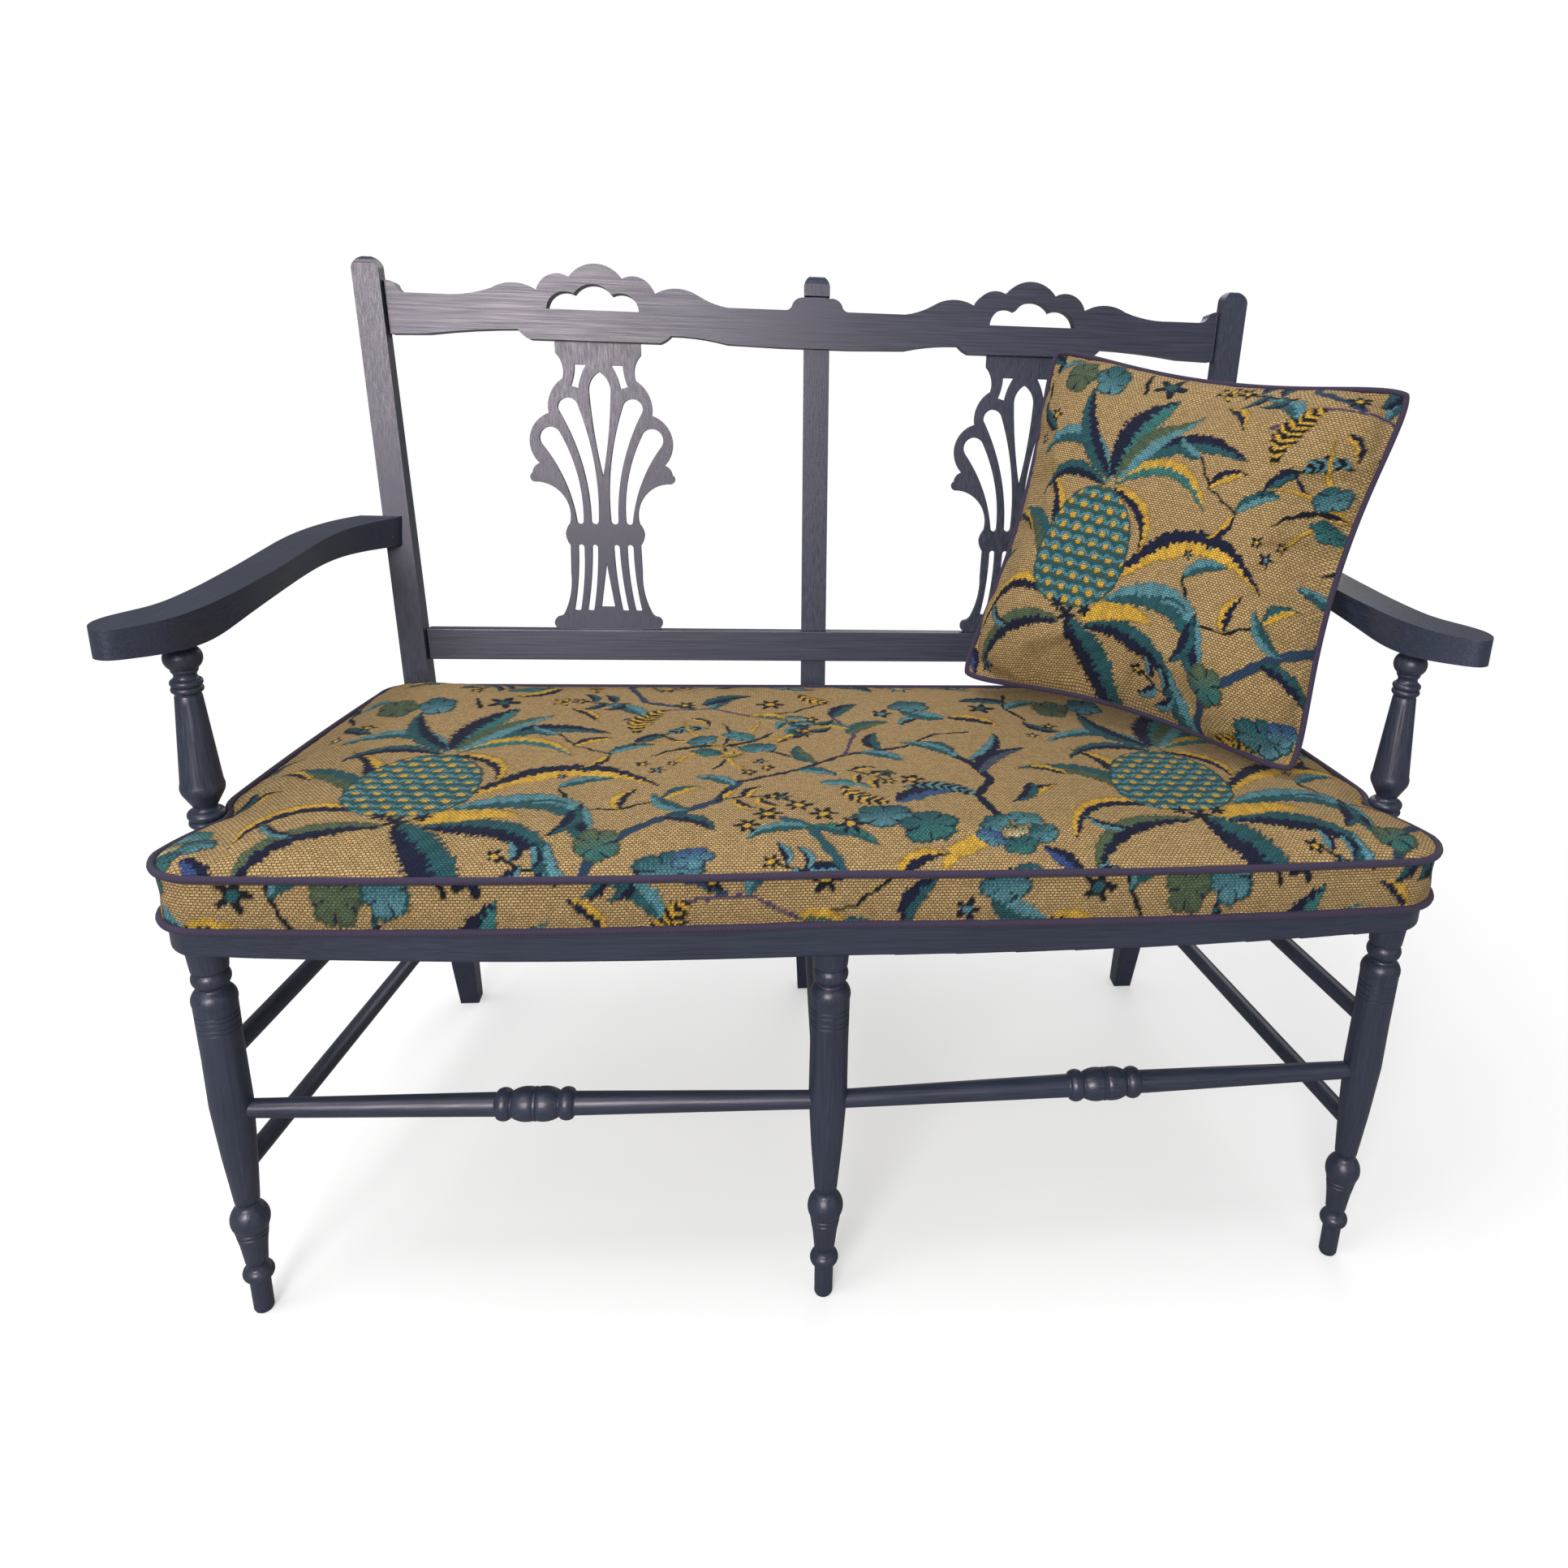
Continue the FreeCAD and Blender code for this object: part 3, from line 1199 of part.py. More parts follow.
def scatter_wire(grow, level, depth):
    """One outline of the knife edged cushion: drawn in sides between small corners."""
    _, side_share, start_share, corner_share, turn = level
    side_at = size.scatter_half * side_share
    start = size.scatter_half * start_share
    corner = size.scatter_half * corner_share
    draw = (side_at - corner) / start
    stretch = (size.scatter_half + grow) / size.scatter_half
    points = []
    for quarter in range(4):
        for a, b, bulge in ((corner, -start, draw), (corner, start, turn)):
            for _ in range(quarter):
                a, b = -b, a
            points.append((a * stretch, b * stretch, bulge))
    wire = Part.Wire([curve.toShape() for curve in curve_loop(points)])
    wire.rotate(Vector(0, 0, 0), ACROSS, 90)
    wire.translate(Vector(0, depth, 0))
    return wire


def scatter_solid(shrink):
    thick = size.scatter_half_thickness - shrink
    wires = [scatter_wire(-shrink, level, -thick * level[0]) for level in reversed(scatter_level_shares)]
    wires += [scatter_wire(-shrink, level, thick * level[0]) for level in scatter_level_shares[1:]]
    return Part.makeLoft(wires, True, True)


scatter_turn = Rotation(UP, size.scatter_turn_angle).multiply(
    Rotation(ACROSS, size.scatter_lean_angle).multiply(Rotation(BACKWARD, size.scatter_roll_angle)))
scatter_place = Placement(Vector(size.scatter_centre_side, size.scatter_centre_back,
                                 seat_top + size.scatter_centre_rise), scatter_turn)
scatter_outer = scatter_solid(0)
piece("scatter_cushion_cover", scatter_outer.cut(scatter_solid(size.cover_thickness)), scatter_place)
piece("scatter_cushion_pad", scatter_solid(size.cover_thickness + 2 * size.fit_gap), scatter_place)


def scatter_edge(grow, depth):
    return scatter_wire(-grow, scatter_level_shares[0], depth)


scatter_band = rim_band(scatter_edge, 0, -size.piping_radius * 0.3, size.piping_radius * 3)
piece("scatter_cushion_piping", scatter_band.cut(scatter_outer), scatter_place)


# Place the origin under the middle of the bench's outer box, then check and write

doc.recompute()
whole = FreeCAD.BoundBox()
for node in nodes:
    whole.add(node.Shape.BoundBox)
shift = Vector(-(whole.XMin + whole.XMax) / 2, -(whole.YMin + whole.YMax) / 2, 0)
for node in nodes:
    base = node.Placement.Base + shift
    node.Placement = Placement(base, node.Placement.Rotation)
doc.recompute()

for item in doc.Objects:
    if "Invalid" in item.State or "Error" in item.State:
        raise RuntimeError("%s is not built: %s" % (item.Name, item.State))
for node in nodes:
    if node.Shape.isNull() or not node.Shape.isValid():
        raise RuntimeError("%s has no valid shape" % node.Label)

os.makedirs("parts", exist_ok=True)
for node in nodes:
    node.Shape.exportStep("parts/%s.step" % node.Label)
    print("%-28s solids %d volume %.0f" % (node.Label, len(node.Shape.Solids), node.Shape.Volume))
print("nodes", len(nodes), "shift", tuple(round(value, 3) for value in shift))
print("box", whole)
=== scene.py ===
# %% [markdown]
# # A painted settee bench with tapestry cushions
#
# This lesson dresses a CAD model of a two-seat bench. The wooden pieces already have the right
# shape, so they keep it and get softened edges and satin paint. The two cushions are soft, and
# a CAD solid looks stiff, so both covers are built here as puffed cloth with corded seams. Their
# woven design is drawn point by point from short lists of leaves, petals, fruits and stems.
# The frame is loaded first.

# %% Load the frame
import math

import bmesh
import bpy
import numpy as np
from mathutils import Matrix, Vector


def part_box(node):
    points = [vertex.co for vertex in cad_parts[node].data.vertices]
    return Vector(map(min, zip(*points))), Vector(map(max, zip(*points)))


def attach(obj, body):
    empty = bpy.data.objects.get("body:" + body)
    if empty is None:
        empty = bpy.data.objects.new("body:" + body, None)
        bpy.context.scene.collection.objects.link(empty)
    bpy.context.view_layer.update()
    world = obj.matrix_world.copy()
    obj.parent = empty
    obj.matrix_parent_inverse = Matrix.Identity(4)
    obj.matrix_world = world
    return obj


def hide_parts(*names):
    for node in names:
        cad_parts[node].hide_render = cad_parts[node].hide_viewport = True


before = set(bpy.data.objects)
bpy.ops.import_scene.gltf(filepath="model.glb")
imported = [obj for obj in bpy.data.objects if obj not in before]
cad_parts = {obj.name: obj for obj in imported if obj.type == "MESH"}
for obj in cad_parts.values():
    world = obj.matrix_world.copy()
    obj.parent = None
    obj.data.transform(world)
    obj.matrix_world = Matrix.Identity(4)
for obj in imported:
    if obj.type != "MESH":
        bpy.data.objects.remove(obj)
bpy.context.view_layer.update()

MM = 0.001
LEG_LINE = sum(corner.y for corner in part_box("front_leg_left")) / 2
print("loaded", len(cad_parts), "nodes, front legs at y", round(LEG_LINE, 4))

# %% [markdown]
# ## Colours and one way to add shader nodes
#
# A maker picks colours as sRGB hex values, but a shader works in linear light, so one
# function converts them. Every material below is a small tree of nodes. `add` makes one node,
# sets its properties and fills its inputs, where an input is a plain value or the socket that
# feeds it. With that one helper a whole material reads from top to bottom.

# %% Colour and node helpers
def linear(code):
    """Turn an sRGB hex colour into linear RGB."""
    shares = [int(code[i:i + 2], 16) / 255 for i in (1, 3, 5)]
    return tuple(c / 12.92 if c <= 0.04045 else ((c + 0.055) / 1.055) ** 2.4 for c in shares)


def rgba(code):
    return (*linear(code), 1.0)


def add(tree, kind, settings, inputs):
    made = tree.nodes.new(kind)
    for name, value in settings.items():
        setattr(made, name, value)
    for name, value in inputs.items():
        if isinstance(value, bpy.types.NodeSocket):
            tree.links.new(value, made.inputs[name])
        else:
            made.inputs[name].default_value = value
    return made


def new_material(name):
    material = bpy.data.materials.new(name)
    material.use_nodes = True
    tree = material.node_tree
    tree.nodes.clear()
    return material, tree


def finish_material(tree, shader):
    add(tree, "ShaderNodeOutputMaterial", {}, {"Surface": shader.outputs[0]})


print("mid grey #808080 is", [round(c, 3) for c in linear("#808080")], "in linear light")

# %% [markdown]
# ## Satin paint on beech
#
# The real frame is beech under slate blue eggshell paint, laid on with a brush. The eye picks
# up three things: fine streaks along the piece, slow drifts of tone, and a gloss that comes and
# goes with the streaks. Such a film has an IOR of 1.5 and a roughness near 0.4. A noise
# stretched along one axis gives the streaks, and strokes run along each piece, so there is one
# material for each direction. Real bristles leave lines about half a millimetre apart, which
# are drawn three times as wide here so that they show.

# %% Satin paint
STROKE_WIDTH = 1.5 * MM
STROKE_LENGTH = 70 * MM
STROKE_DEPTH = 0.16 * MM
DRIFT = 120 * MM
DARK_SLATE, LIGHT_SLATE, STREAK = "#1a2331", "#242e3f", "#384053"


def painted_wood(along):
    """Brushed eggshell paint with its strokes along one axis."""
    material, tree = new_material("SatinPaintAlong" + along)
    place = add(tree, "ShaderNodeTexCoord", {}, {})
    scale = [1 / (STROKE_LENGTH if axis == along else STROKE_WIDTH) for axis in "XYZ"]
    stretch = add(tree, "ShaderNodeMapping", {}, {"Vector": place.outputs["Object"], "Scale": scale})
    strokes = add(tree, "ShaderNodeTexNoise", {}, {
        "Vector": stretch.outputs[0], "Scale": 1.0, "Detail": 3.0, "Roughness": 0.6})
    drift = add(tree, "ShaderNodeTexNoise", {}, {
        "Vector": place.outputs["Object"], "Scale": 1 / DRIFT, "Detail": 2.0})
    tone = add(tree, "ShaderNodeValToRGB", {}, {"Fac": drift.outputs["Fac"]})
    tone.color_ramp.elements[0].position = 0.3
    tone.color_ramp.elements[0].color = rgba(DARK_SLATE)
    tone.color_ramp.elements[1].position = 0.72
    tone.color_ramp.elements[1].color = rgba(LIGHT_SLATE)
    streak = add(tree, "ShaderNodeMapRange", {}, {
        "Value": strokes.outputs["Fac"], "From Min": 0.3, "From Max": 0.7, "To Min": 0.0, "To Max": 0.5})
    colour = add(tree, "ShaderNodeMix", {"data_type": "RGBA"}, {
        "Factor": streak.outputs[0], "A": tone.outputs["Color"], "B": rgba(STREAK)})
    gloss = add(tree, "ShaderNodeMapRange", {}, {
        "Value": strokes.outputs["Fac"], "From Min": 0.3, "From Max": 0.7, "To Min": 0.3, "To Max": 0.46})
    relief = add(tree, "ShaderNodeBump", {}, {
        "Height": strokes.outputs["Fac"], "Distance": STROKE_DEPTH, "Strength": 0.6})
    shader = add(tree, "ShaderNodeBsdfPrincipled", {}, {
        "Base Color": colour.outputs["Result"], "Roughness": gloss.outputs[0], "IOR": 1.5,
        "Specular IOR Level": 0.78, "Specular Tint": rgba("#f8e8ee"), "Normal": relief.outputs[0]})
    finish_material(tree, shader)
    return material


paint = {along: painted_wood(along) for along in "XYZ"}
print("paint materials", [material.name for material in paint.values()])

# %% [markdown]
# ## Bare wood under the cushion
#
# The boards, the cross rail, the glue blocks and the dowels were never painted. Planed beech
# and birch plywood are pale and dull, with grain a few millimetres wide that runs along the
# bench. A noise drawn out along the grain is enough, because these pieces hide under the cushion.

# %% Bare beech and plywood
GRAIN_WIDTH = 2.5 * MM
GRAIN_LENGTH = 90 * MM
GRAIN_DEPTH = 0.1 * MM


def bare_wood(name, light, dark):
    """Planed wood with its grain along the bench."""
    material, tree = new_material(name)
    place = add(tree, "ShaderNodeTexCoord", {}, {})
    scale = (1 / GRAIN_LENGTH, 1 / GRAIN_WIDTH, 1 / GRAIN_WIDTH)
    stretch = add(tree, "ShaderNodeMapping", {}, {"Vector": place.outputs["Object"], "Scale": scale})
    grain = add(tree, "ShaderNodeTexNoise", {}, {
        "Vector": stretch.outputs[0], "Scale": 1.0, "Detail": 5.0, "Distortion": 0.6})
    colour = add(tree, "ShaderNodeMix", {"data_type": "RGBA"}, {
        "Factor": grain.outputs["Fac"], "A": rgba(light), "B": rgba(dark)})
    relief = add(tree, "ShaderNodeBump", {}, {"Height": grain.outputs["Fac"], "Distance": GRAIN_DEPTH})
    shader = add(tree, "ShaderNodeBsdfPrincipled", {}, {
        "Base Color": colour.outputs["Result"], "Roughness": 0.62, "Normal": relief.outputs[0]})
    finish_material(tree, shader)
    return material


beech = bare_wood("BareBeech", "#c9a67c", "#a37c50")
plywood = bare_wood("BirchPlywood", "#d8bd92", "#b9966a")
print("bare woods", beech.name, plywood.name)

# %% [markdown]
# ## The wooden pieces
#
# A CAD mesh is loose triangles with knife-sharp edges, which look like plastic under a lamp.
# Sanding and two coats of paint round every edge of the real piece by a millimetre or so. So
# each node is copied, its triangles are merged and its flat faces joined, and only then can a
# bevel run along whole edges. Weighted normals keep the flat faces flat beside the bevel. The
# CAD node itself is never changed: the copy stands for it.

# %% A merged and eased copy
SMOOTH_ANGLE = math.radians(38)
FLAT_ANGLE = math.radians(0.8)
WELD = 0.01 * MM


def smooth_faces(bm):
    """Shade smooth, and keep every edge sharper than the smooth angle crisp."""
    for face in bm.faces:
        face.smooth = True
    for edge in bm.edges:
        edge.smooth = len(edge.link_faces) == 2 and edge.calc_face_angle(0) < SMOOTH_ANGLE


def make_active(piece):
    bpy.ops.object.select_all(action="DESELECT")
    piece.select_set(True)
    bpy.context.view_layer.objects.active = piece


def level_flats(piece):
    """Let the large flat faces rule the shading beside their eased edges."""
    modifier = piece.modifiers.new("Flats", "WEIGHTED_NORMAL")
    modifier.keep_sharp = True
    modifier.weight = 80
    make_active(piece)
    bpy.ops.object.modifier_apply(modifier=modifier.name)


def dress(node, material, ease=0.0):
    """A merged and eased copy of a rigid node, which then stands for it."""
    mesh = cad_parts[node].data.copy()
    bm = bmesh.new()
    bm.from_mesh(mesh)
    bmesh.ops.remove_doubles(bm, verts=bm.verts, dist=WELD)
    bmesh.ops.dissolve_limit(bm, angle_limit=FLAT_ANGLE, verts=bm.verts, edges=bm.edges)
    if ease:
        corners = [edge for edge in bm.edges
                   if len(edge.link_faces) == 2 and edge.calc_face_angle(0) > SMOOTH_ANGLE]
        bmesh.ops.bevel(bm, geom=corners, offset=ease, segments=2, profile=0.6, affect="EDGES",
                        clamp_overlap=True)
    smooth_faces(bm)
    bm.to_mesh(mesh)
    bm.free()
    mesh.materials.clear()
    mesh.materials.append(material)
    piece = bpy.data.objects.new(node + "_painted", mesh)
    bpy.context.scene.collection.objects.link(piece)
    if ease:
        level_flats(piece)
    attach(piece, "frame")
    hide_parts(node)
    return piece


# %% [markdown]
# Turned pieces come off the lathe with soft forms, so they need no bevel. Sawn pieces are cut
# from planks and are eased by hand: the arms most, because hands rub them, and the fretwork of
# the splats least. The side and back rails of the seat keep the edges they were modelled with.

# %% Dress the painted pieces
turned = {
    "Z": ["front_leg_left", "front_leg_middle", "front_leg_right", "arm_baluster_left", "arm_baluster_right"],
    "X": ["front_stretcher_left", "front_stretcher_right", "back_stretcher_left", "back_stretcher_right"],
    "Y": ["side_stretcher_upper_left", "side_stretcher_upper_right", "side_stretcher_lower_left",
          "side_stretcher_lower_right", "middle_stretcher_upper", "middle_stretcher_lower"],
}
sawn = {
    "X": ["top_rail", "lower_back_rail", "seat_front_rail", "seat_back_rail_left", "seat_back_rail_right"],
    "Y": ["arm_left", "arm_right", "seat_side_rail_left", "seat_side_rail_right"],
    "Z": ["back_post_left", "back_post_middle", "back_post_right", "splat_left", "splat_right"],
}
EASE = {"arm": 2.6 * MM, "splat": 0.7 * MM, "top_rail": 1.3 * MM, "lower_back_rail": 1.2 * MM,
        "seat_front": 0.8 * MM, "back_post": 1.6 * MM}
for along, names in turned.items():
    for name in names:
        dress(name, paint[along])
for along, names in sawn.items():
    for name in names:
        ease = next((size for start, size in EASE.items() if name.startswith(start)), 0.0)
        dress(name, paint[along], ease)
print("dressed", sum(len(names) for group in (turned, sawn) for names in group.values()), "pieces")

# %% [markdown]
# The hidden pieces need no easing, so their CAD nodes stay and only get a material.

# %% Materials of the hidden pieces
unpainted = {beech: ["seat_cross_rail", "corner_blocks", "arm_dowel_left", "arm_dowel_right"],
             plywood: ["seat_board_left", "seat_board_right"]}


def give(node, material):
    """Put a material on a CAD node that stays as it is."""
    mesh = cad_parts[node].data
    mesh.materials.clear()
    mesh.materials.append(material)


for material, names in unpainted.items():
    for name in names:
        give(name, material)
    print(material.name, "on", ", ".join(names))

# %% [markdown]
# ## The woven design
#
# Furnishing tapestry is woven in repeats, here two thirds of a metre wide. This one is in the
# manner of old crewel work: a scaled fruit among arching two tone leaves, an open flower with
# long threads, small flowers, lobed petals and barred leaves on sand. Its repeat, its main
# motifs and where they lie follow the cloth of the real cushions, in simpler shapes. A picture
# file could hold it, but a design drawn in code stays sharp at any size. Every point of the
# cloth asks each shape in turn whether it lies inside it. A place is measured the short way
# round the repeat, so the design runs on without a seam. The lists hold the whole layout, so
# another design needs only other lists.

# %% Repeat and colours of the cloth
REPEAT = np.array([655, 470]) * MM
GROUND, CREAM, OCHRE = "#c6a673", "#dcc998", "#dcae42"
NAVY, TEAL, SKY = "#161c3a", "#285a61", "#5e939e"
OLIVE, BARK, LEAF = "#56664b", "#13161b", "#3a7875"
INDIGO, PLUM, BLUE = "#2c4460", "#5a4468", "#3a5a86"
SEA, IRIS, ASH = "#2c5a66", "#3a4f86", "#4c5468"


def shade(code):
    return np.array(linear(code))


def nearest_way(points, centre):
    """Vectors from a place in the repeat to each point, the short way round."""
    return (points - np.array(centre) * MM + REPEAT / 2) % REPEAT - REPEAT / 2


def lay(colours, inside, tone):
    """Lay raised yarn of a tone where a shape lies."""
    colours[inside, :3] = tone
    colours[inside, 3] = 1


print("repeat of cloth", REPEAT / MM, "mm")

# %% [markdown]
# A strap leaf grows along a bent spine. It is worked in short stitches, each a little lighter
# or darker than its neighbour at random. Its two tones meet along the spine, or run across it
# in bars like an ear of corn. An outline would need a dozen points for each leaf. A spine with
# a width needs two ends and a bend, so all the leaves fit in one list.

# %% Strap leaves
STITCH = 2.2 * MM
BAR = 8 * MM
SPINE_POINTS = 48
DARK_EDGE = 1.1


def uneven(number, low, spread, shift=0):
    """A steady but unruly factor for each whole number."""
    return (low + spread * (np.sin(number * 12.9898 + shift) * 43.7 % 1))[:, None]


def leaf(points, colours, base, tip, bend, width, left, right, barred=False):
    """A strap leaf on a bent spine, worked in two tones or barred like an ear of corn."""
    middle = (np.array(base) + np.array(tip)) / 2
    local = nearest_way(points, middle)
    start = (np.array(base) - middle) * MM
    end = (np.array(tip) - middle) * MM
    reach = np.linalg.norm(end - start)
    close = np.flatnonzero((np.abs(local) < reach * 0.5 + (abs(bend) + width) * MM).all(1))
    if not len(close):
        return
    p = local[close]
    side = np.array([start[1] - end[1], end[0] - start[0]]) / reach
    t = np.linspace(0, 1, SPINE_POINTS)[:, None]
    spine = start * (1 - t) + end * t + side * bend * MM * 4 * t * (1 - t)
    gap = p[:, None, :] - spine[None]
    distance = np.linalg.norm(gap, axis=2)
    at = distance.argmin(1)
    across = distance[np.arange(len(p)), at] / (width * MM)
    heading = np.gradient(spine, axis=0)[at]
    gap = gap[np.arange(len(p)), at]
    turn = np.sign(heading[:, 0] * gap[:, 1] - heading[:, 1] * gap[:, 0])
    share = at / (SPINE_POINTS - 1)
    stitch = np.floor(share * reach / STITCH)
    half = np.sin(np.pi * np.clip(share, 0, 1) ** 0.8) ** 0.75 * (1 + 0.13 * np.sin(stitch * 2.4))
    inside = (across < half) & (at > 0) & (at < SPINE_POINTS - 1)
    leftward = across * turn > 0.16 * np.sin(stitch * 1.9)
    if barred:
        leftward = (share * reach / BAR + across * 0.9) % 1 < 0.56
    result = np.where(leftward[:, None], shade(left), shade(right))
    result *= uneven(stitch, 0.78, 0.44, leftward * 4.1)
    result[across > half - DARK_EDGE / width] *= 0.62
    lay(colours, close[inside], result[inside])


print("leaf stitches are", round(STITCH / MM, 1), "mm long")

# %% [markdown]
# A stem is a couched cord: a thin line laid from place to place. A point belongs to it when it
# lies nearer to one of its straight runs than half the stem's width.

# %% Stems
def stem(points, colours, route, width, tone):
    """A thin stem through a few places."""
    for first, last in zip(route, route[1:]):
        middle = (np.array(first) + np.array(last)) / 2
        local = nearest_way(points, middle)
        start = (np.array(first) - middle) * MM
        run = (np.array(last) - np.array(first)) * MM
        share = np.clip(((local - start) @ run) / (run @ run), 0, 1)
        distance = np.linalg.norm(local - start - share[:, None] * run, axis=1)
        lay(colours, distance < width * MM, shade(tone))


print("a stem asks for its route, half its width and its tone")

# %% [markdown]
# The fruit is the largest shape, swollen and tapering, under rows of overlapping scales like
# a pine cone. One scale is drawn once, a pale arch over a bright seed, and every point finds
# its own place within its scale by a remainder. Each second row starts half a scale along.

# %% Scaled fruit
SCALE_WIDE, SCALE_HIGH = 17, 13
ARCH_INNER, ARCH_OUTER = 5.4, 8.2
SEED = 3.1
RIND = 2.5


def fruit(points, colours, centre, length, width, tilt):
    """A swollen fruit covered in rows of scales, in millimetres about its own middle."""
    local = nearest_way(points, centre) / MM
    cos, sin = math.cos(tilt), math.sin(tilt)
    a = local[:, 0] * cos + local[:, 1] * sin
    b = -local[:, 0] * sin + local[:, 1] * cos
    up = b / (length / 2)
    half = width / 2 * np.clip(1 - np.abs(up) ** 2.4, 0, 1) ** 0.5 * (1 - 0.12 * up)
    inside = (np.abs(up) < 1) & (np.abs(a) < half)
    row = np.floor(b / SCALE_HIGH)
    u = ((a / SCALE_WIDE + 0.5 * (row % 2)) % 1 - 0.5) * SCALE_WIDE
    v = b - row * SCALE_HIGH
    arch = np.hypot(u * 0.95, v - 2.5)
    tone = np.where((v + np.abs(u) < 8)[:, None], shade(OLIVE) * 0.8, shade(TEAL))
    tone = np.where(((arch > ARCH_INNER) & (arch < ARCH_OUTER) & (v > 3.0))[:, None], shade(SKY), tone)
    tone = np.where((np.hypot(u * 0.85, v - 4.4) < SEED)[:, None], shade(OCHRE), tone)
    tone = np.where((np.abs(a) > half - RIND)[:, None], shade(TEAL) * 0.8, tone)
    lay(colours, inside, tone[inside])


print("a scale is", SCALE_WIDE, "mm wide and", SCALE_HIGH, "mm high")

# %% [markdown]
# A petal is an oval whose edge is drawn in by lobes. One tone is shaded into another from its
# lower side, dark creases run between the lobes, and its threads fan out from its middle. A
# small flower is a ring of petals from one cosine, with a dark edge and a bright heart.

# %% Petals and small flowers
def patch(points, colours, centre, wide, high, tilt, outer, inner):
    """A lobed petal of one tone shaded into another from its lower side, with dark creases."""
    local = nearest_way(points, centre) / MM
    cos, sin = math.cos(tilt), math.sin(tilt)
    a = (local[:, 0] * cos + local[:, 1] * sin) / wide
    b = (-local[:, 0] * sin + local[:, 1] * cos) / high
    distance = np.hypot(a, b)
    fold = np.abs(np.sin(np.arctan2(b, a) * 2.5 + wide))
    ragged = 0.8 + 0.2 * fold ** 0.6 + 0.04 * np.sin(np.arctan2(b, a) * 23)
    inside = distance < ragged
    grade = np.clip(0.5 - b * 0.9 + 0.25 * np.sin(a * wide * 1.9), 0, 1)[:, None]
    tone = shade(outer) * (1 - grade) + shade(inner) * grade
    tone = np.where((distance > ragged * 0.86)[:, None], shade(outer) * 0.75, tone)
    tone = np.where(((fold < 0.17) & (distance > 0.3))[:, None], shade(NAVY), tone)
    thread = np.floor(np.arctan2(b, a) * (wide + high) * MM / (2 * STITCH))
    tone *= uneven(thread, 0.74, 0.5)
    lay(colours, inside, tone[inside])


def blossom(points, colours, centre, radius, petals, outer, inner):
    """A small open flower."""
    local = nearest_way(points, centre) / MM
    angle = np.arctan2(local[:, 1], local[:, 0])
    distance = np.hypot(local[:, 0], local[:, 1]) / radius
    edge = 0.72 + 0.28 * np.cos(petals * angle)
    inside = distance < edge
    tone = np.where((distance < edge * 0.72)[:, None], shade(outer), shade(BARK))
    tone = np.where((distance < 0.3)[:, None], shade(inner), tone)
    lay(colours, inside, tone[inside])


print("shapes for the design:", ", ".join(shape.__name__ for shape in (leaf, stem, fruit, patch, blossom)))

# %% [markdown]
# Places below are millimetres in the repeat, from its lower left corner. A stem is its route,
# half its width and its tone. A leaf is its base, its tip, how far its spine bends, its half
# width, its left and right tones, and whether it is barred.

# %% Stems and leaves of the design
STEMS = [
    ([(352, 24), (350, 84), (362, 122), (408, 164), (452, 196), (470, 236)], 4.2, INDIGO),
    ([(558, 78), (548, 112), (528, 146), (508, 160)], 4.4, SEA),
    ([(32, 160), (20, 204), (38, 238), (26, 276), (10, 300)], 3.8, NAVY),
    ([(470, 236), (520, 262), (566, 300), (622, 318)], 2.2, NAVY),
    ([(566, 300), (578, 352), (560, 396)], 1.8, PLUM), ([(622, 318), (655, 350), (690, 356)], 1.8, NAVY),
    ([(356, 392), (392, 420), (440, 424), (476, 402)], 1.7, PLUM),
    ([(476, 402), (520, 412), (556, 440)], 1.5, BARK), ([(352, 24), (372, -26), (420, -44)], 3.0, INDIGO),
    ([(100, 392), (84, 430), (92, 468)], 2.0, BARK), ([(212, 424), (204, 452)], 2.0, BARK),
    ([(318, 226), (338, 184), (372, 182), (408, 202)], 1.5, BARK),
    ([(352, 300), (372, 318), (400, 350)], 1.4, NAVY), ([(352, 300), (318, 322), (300, 352)], 1.3, BARK),
]
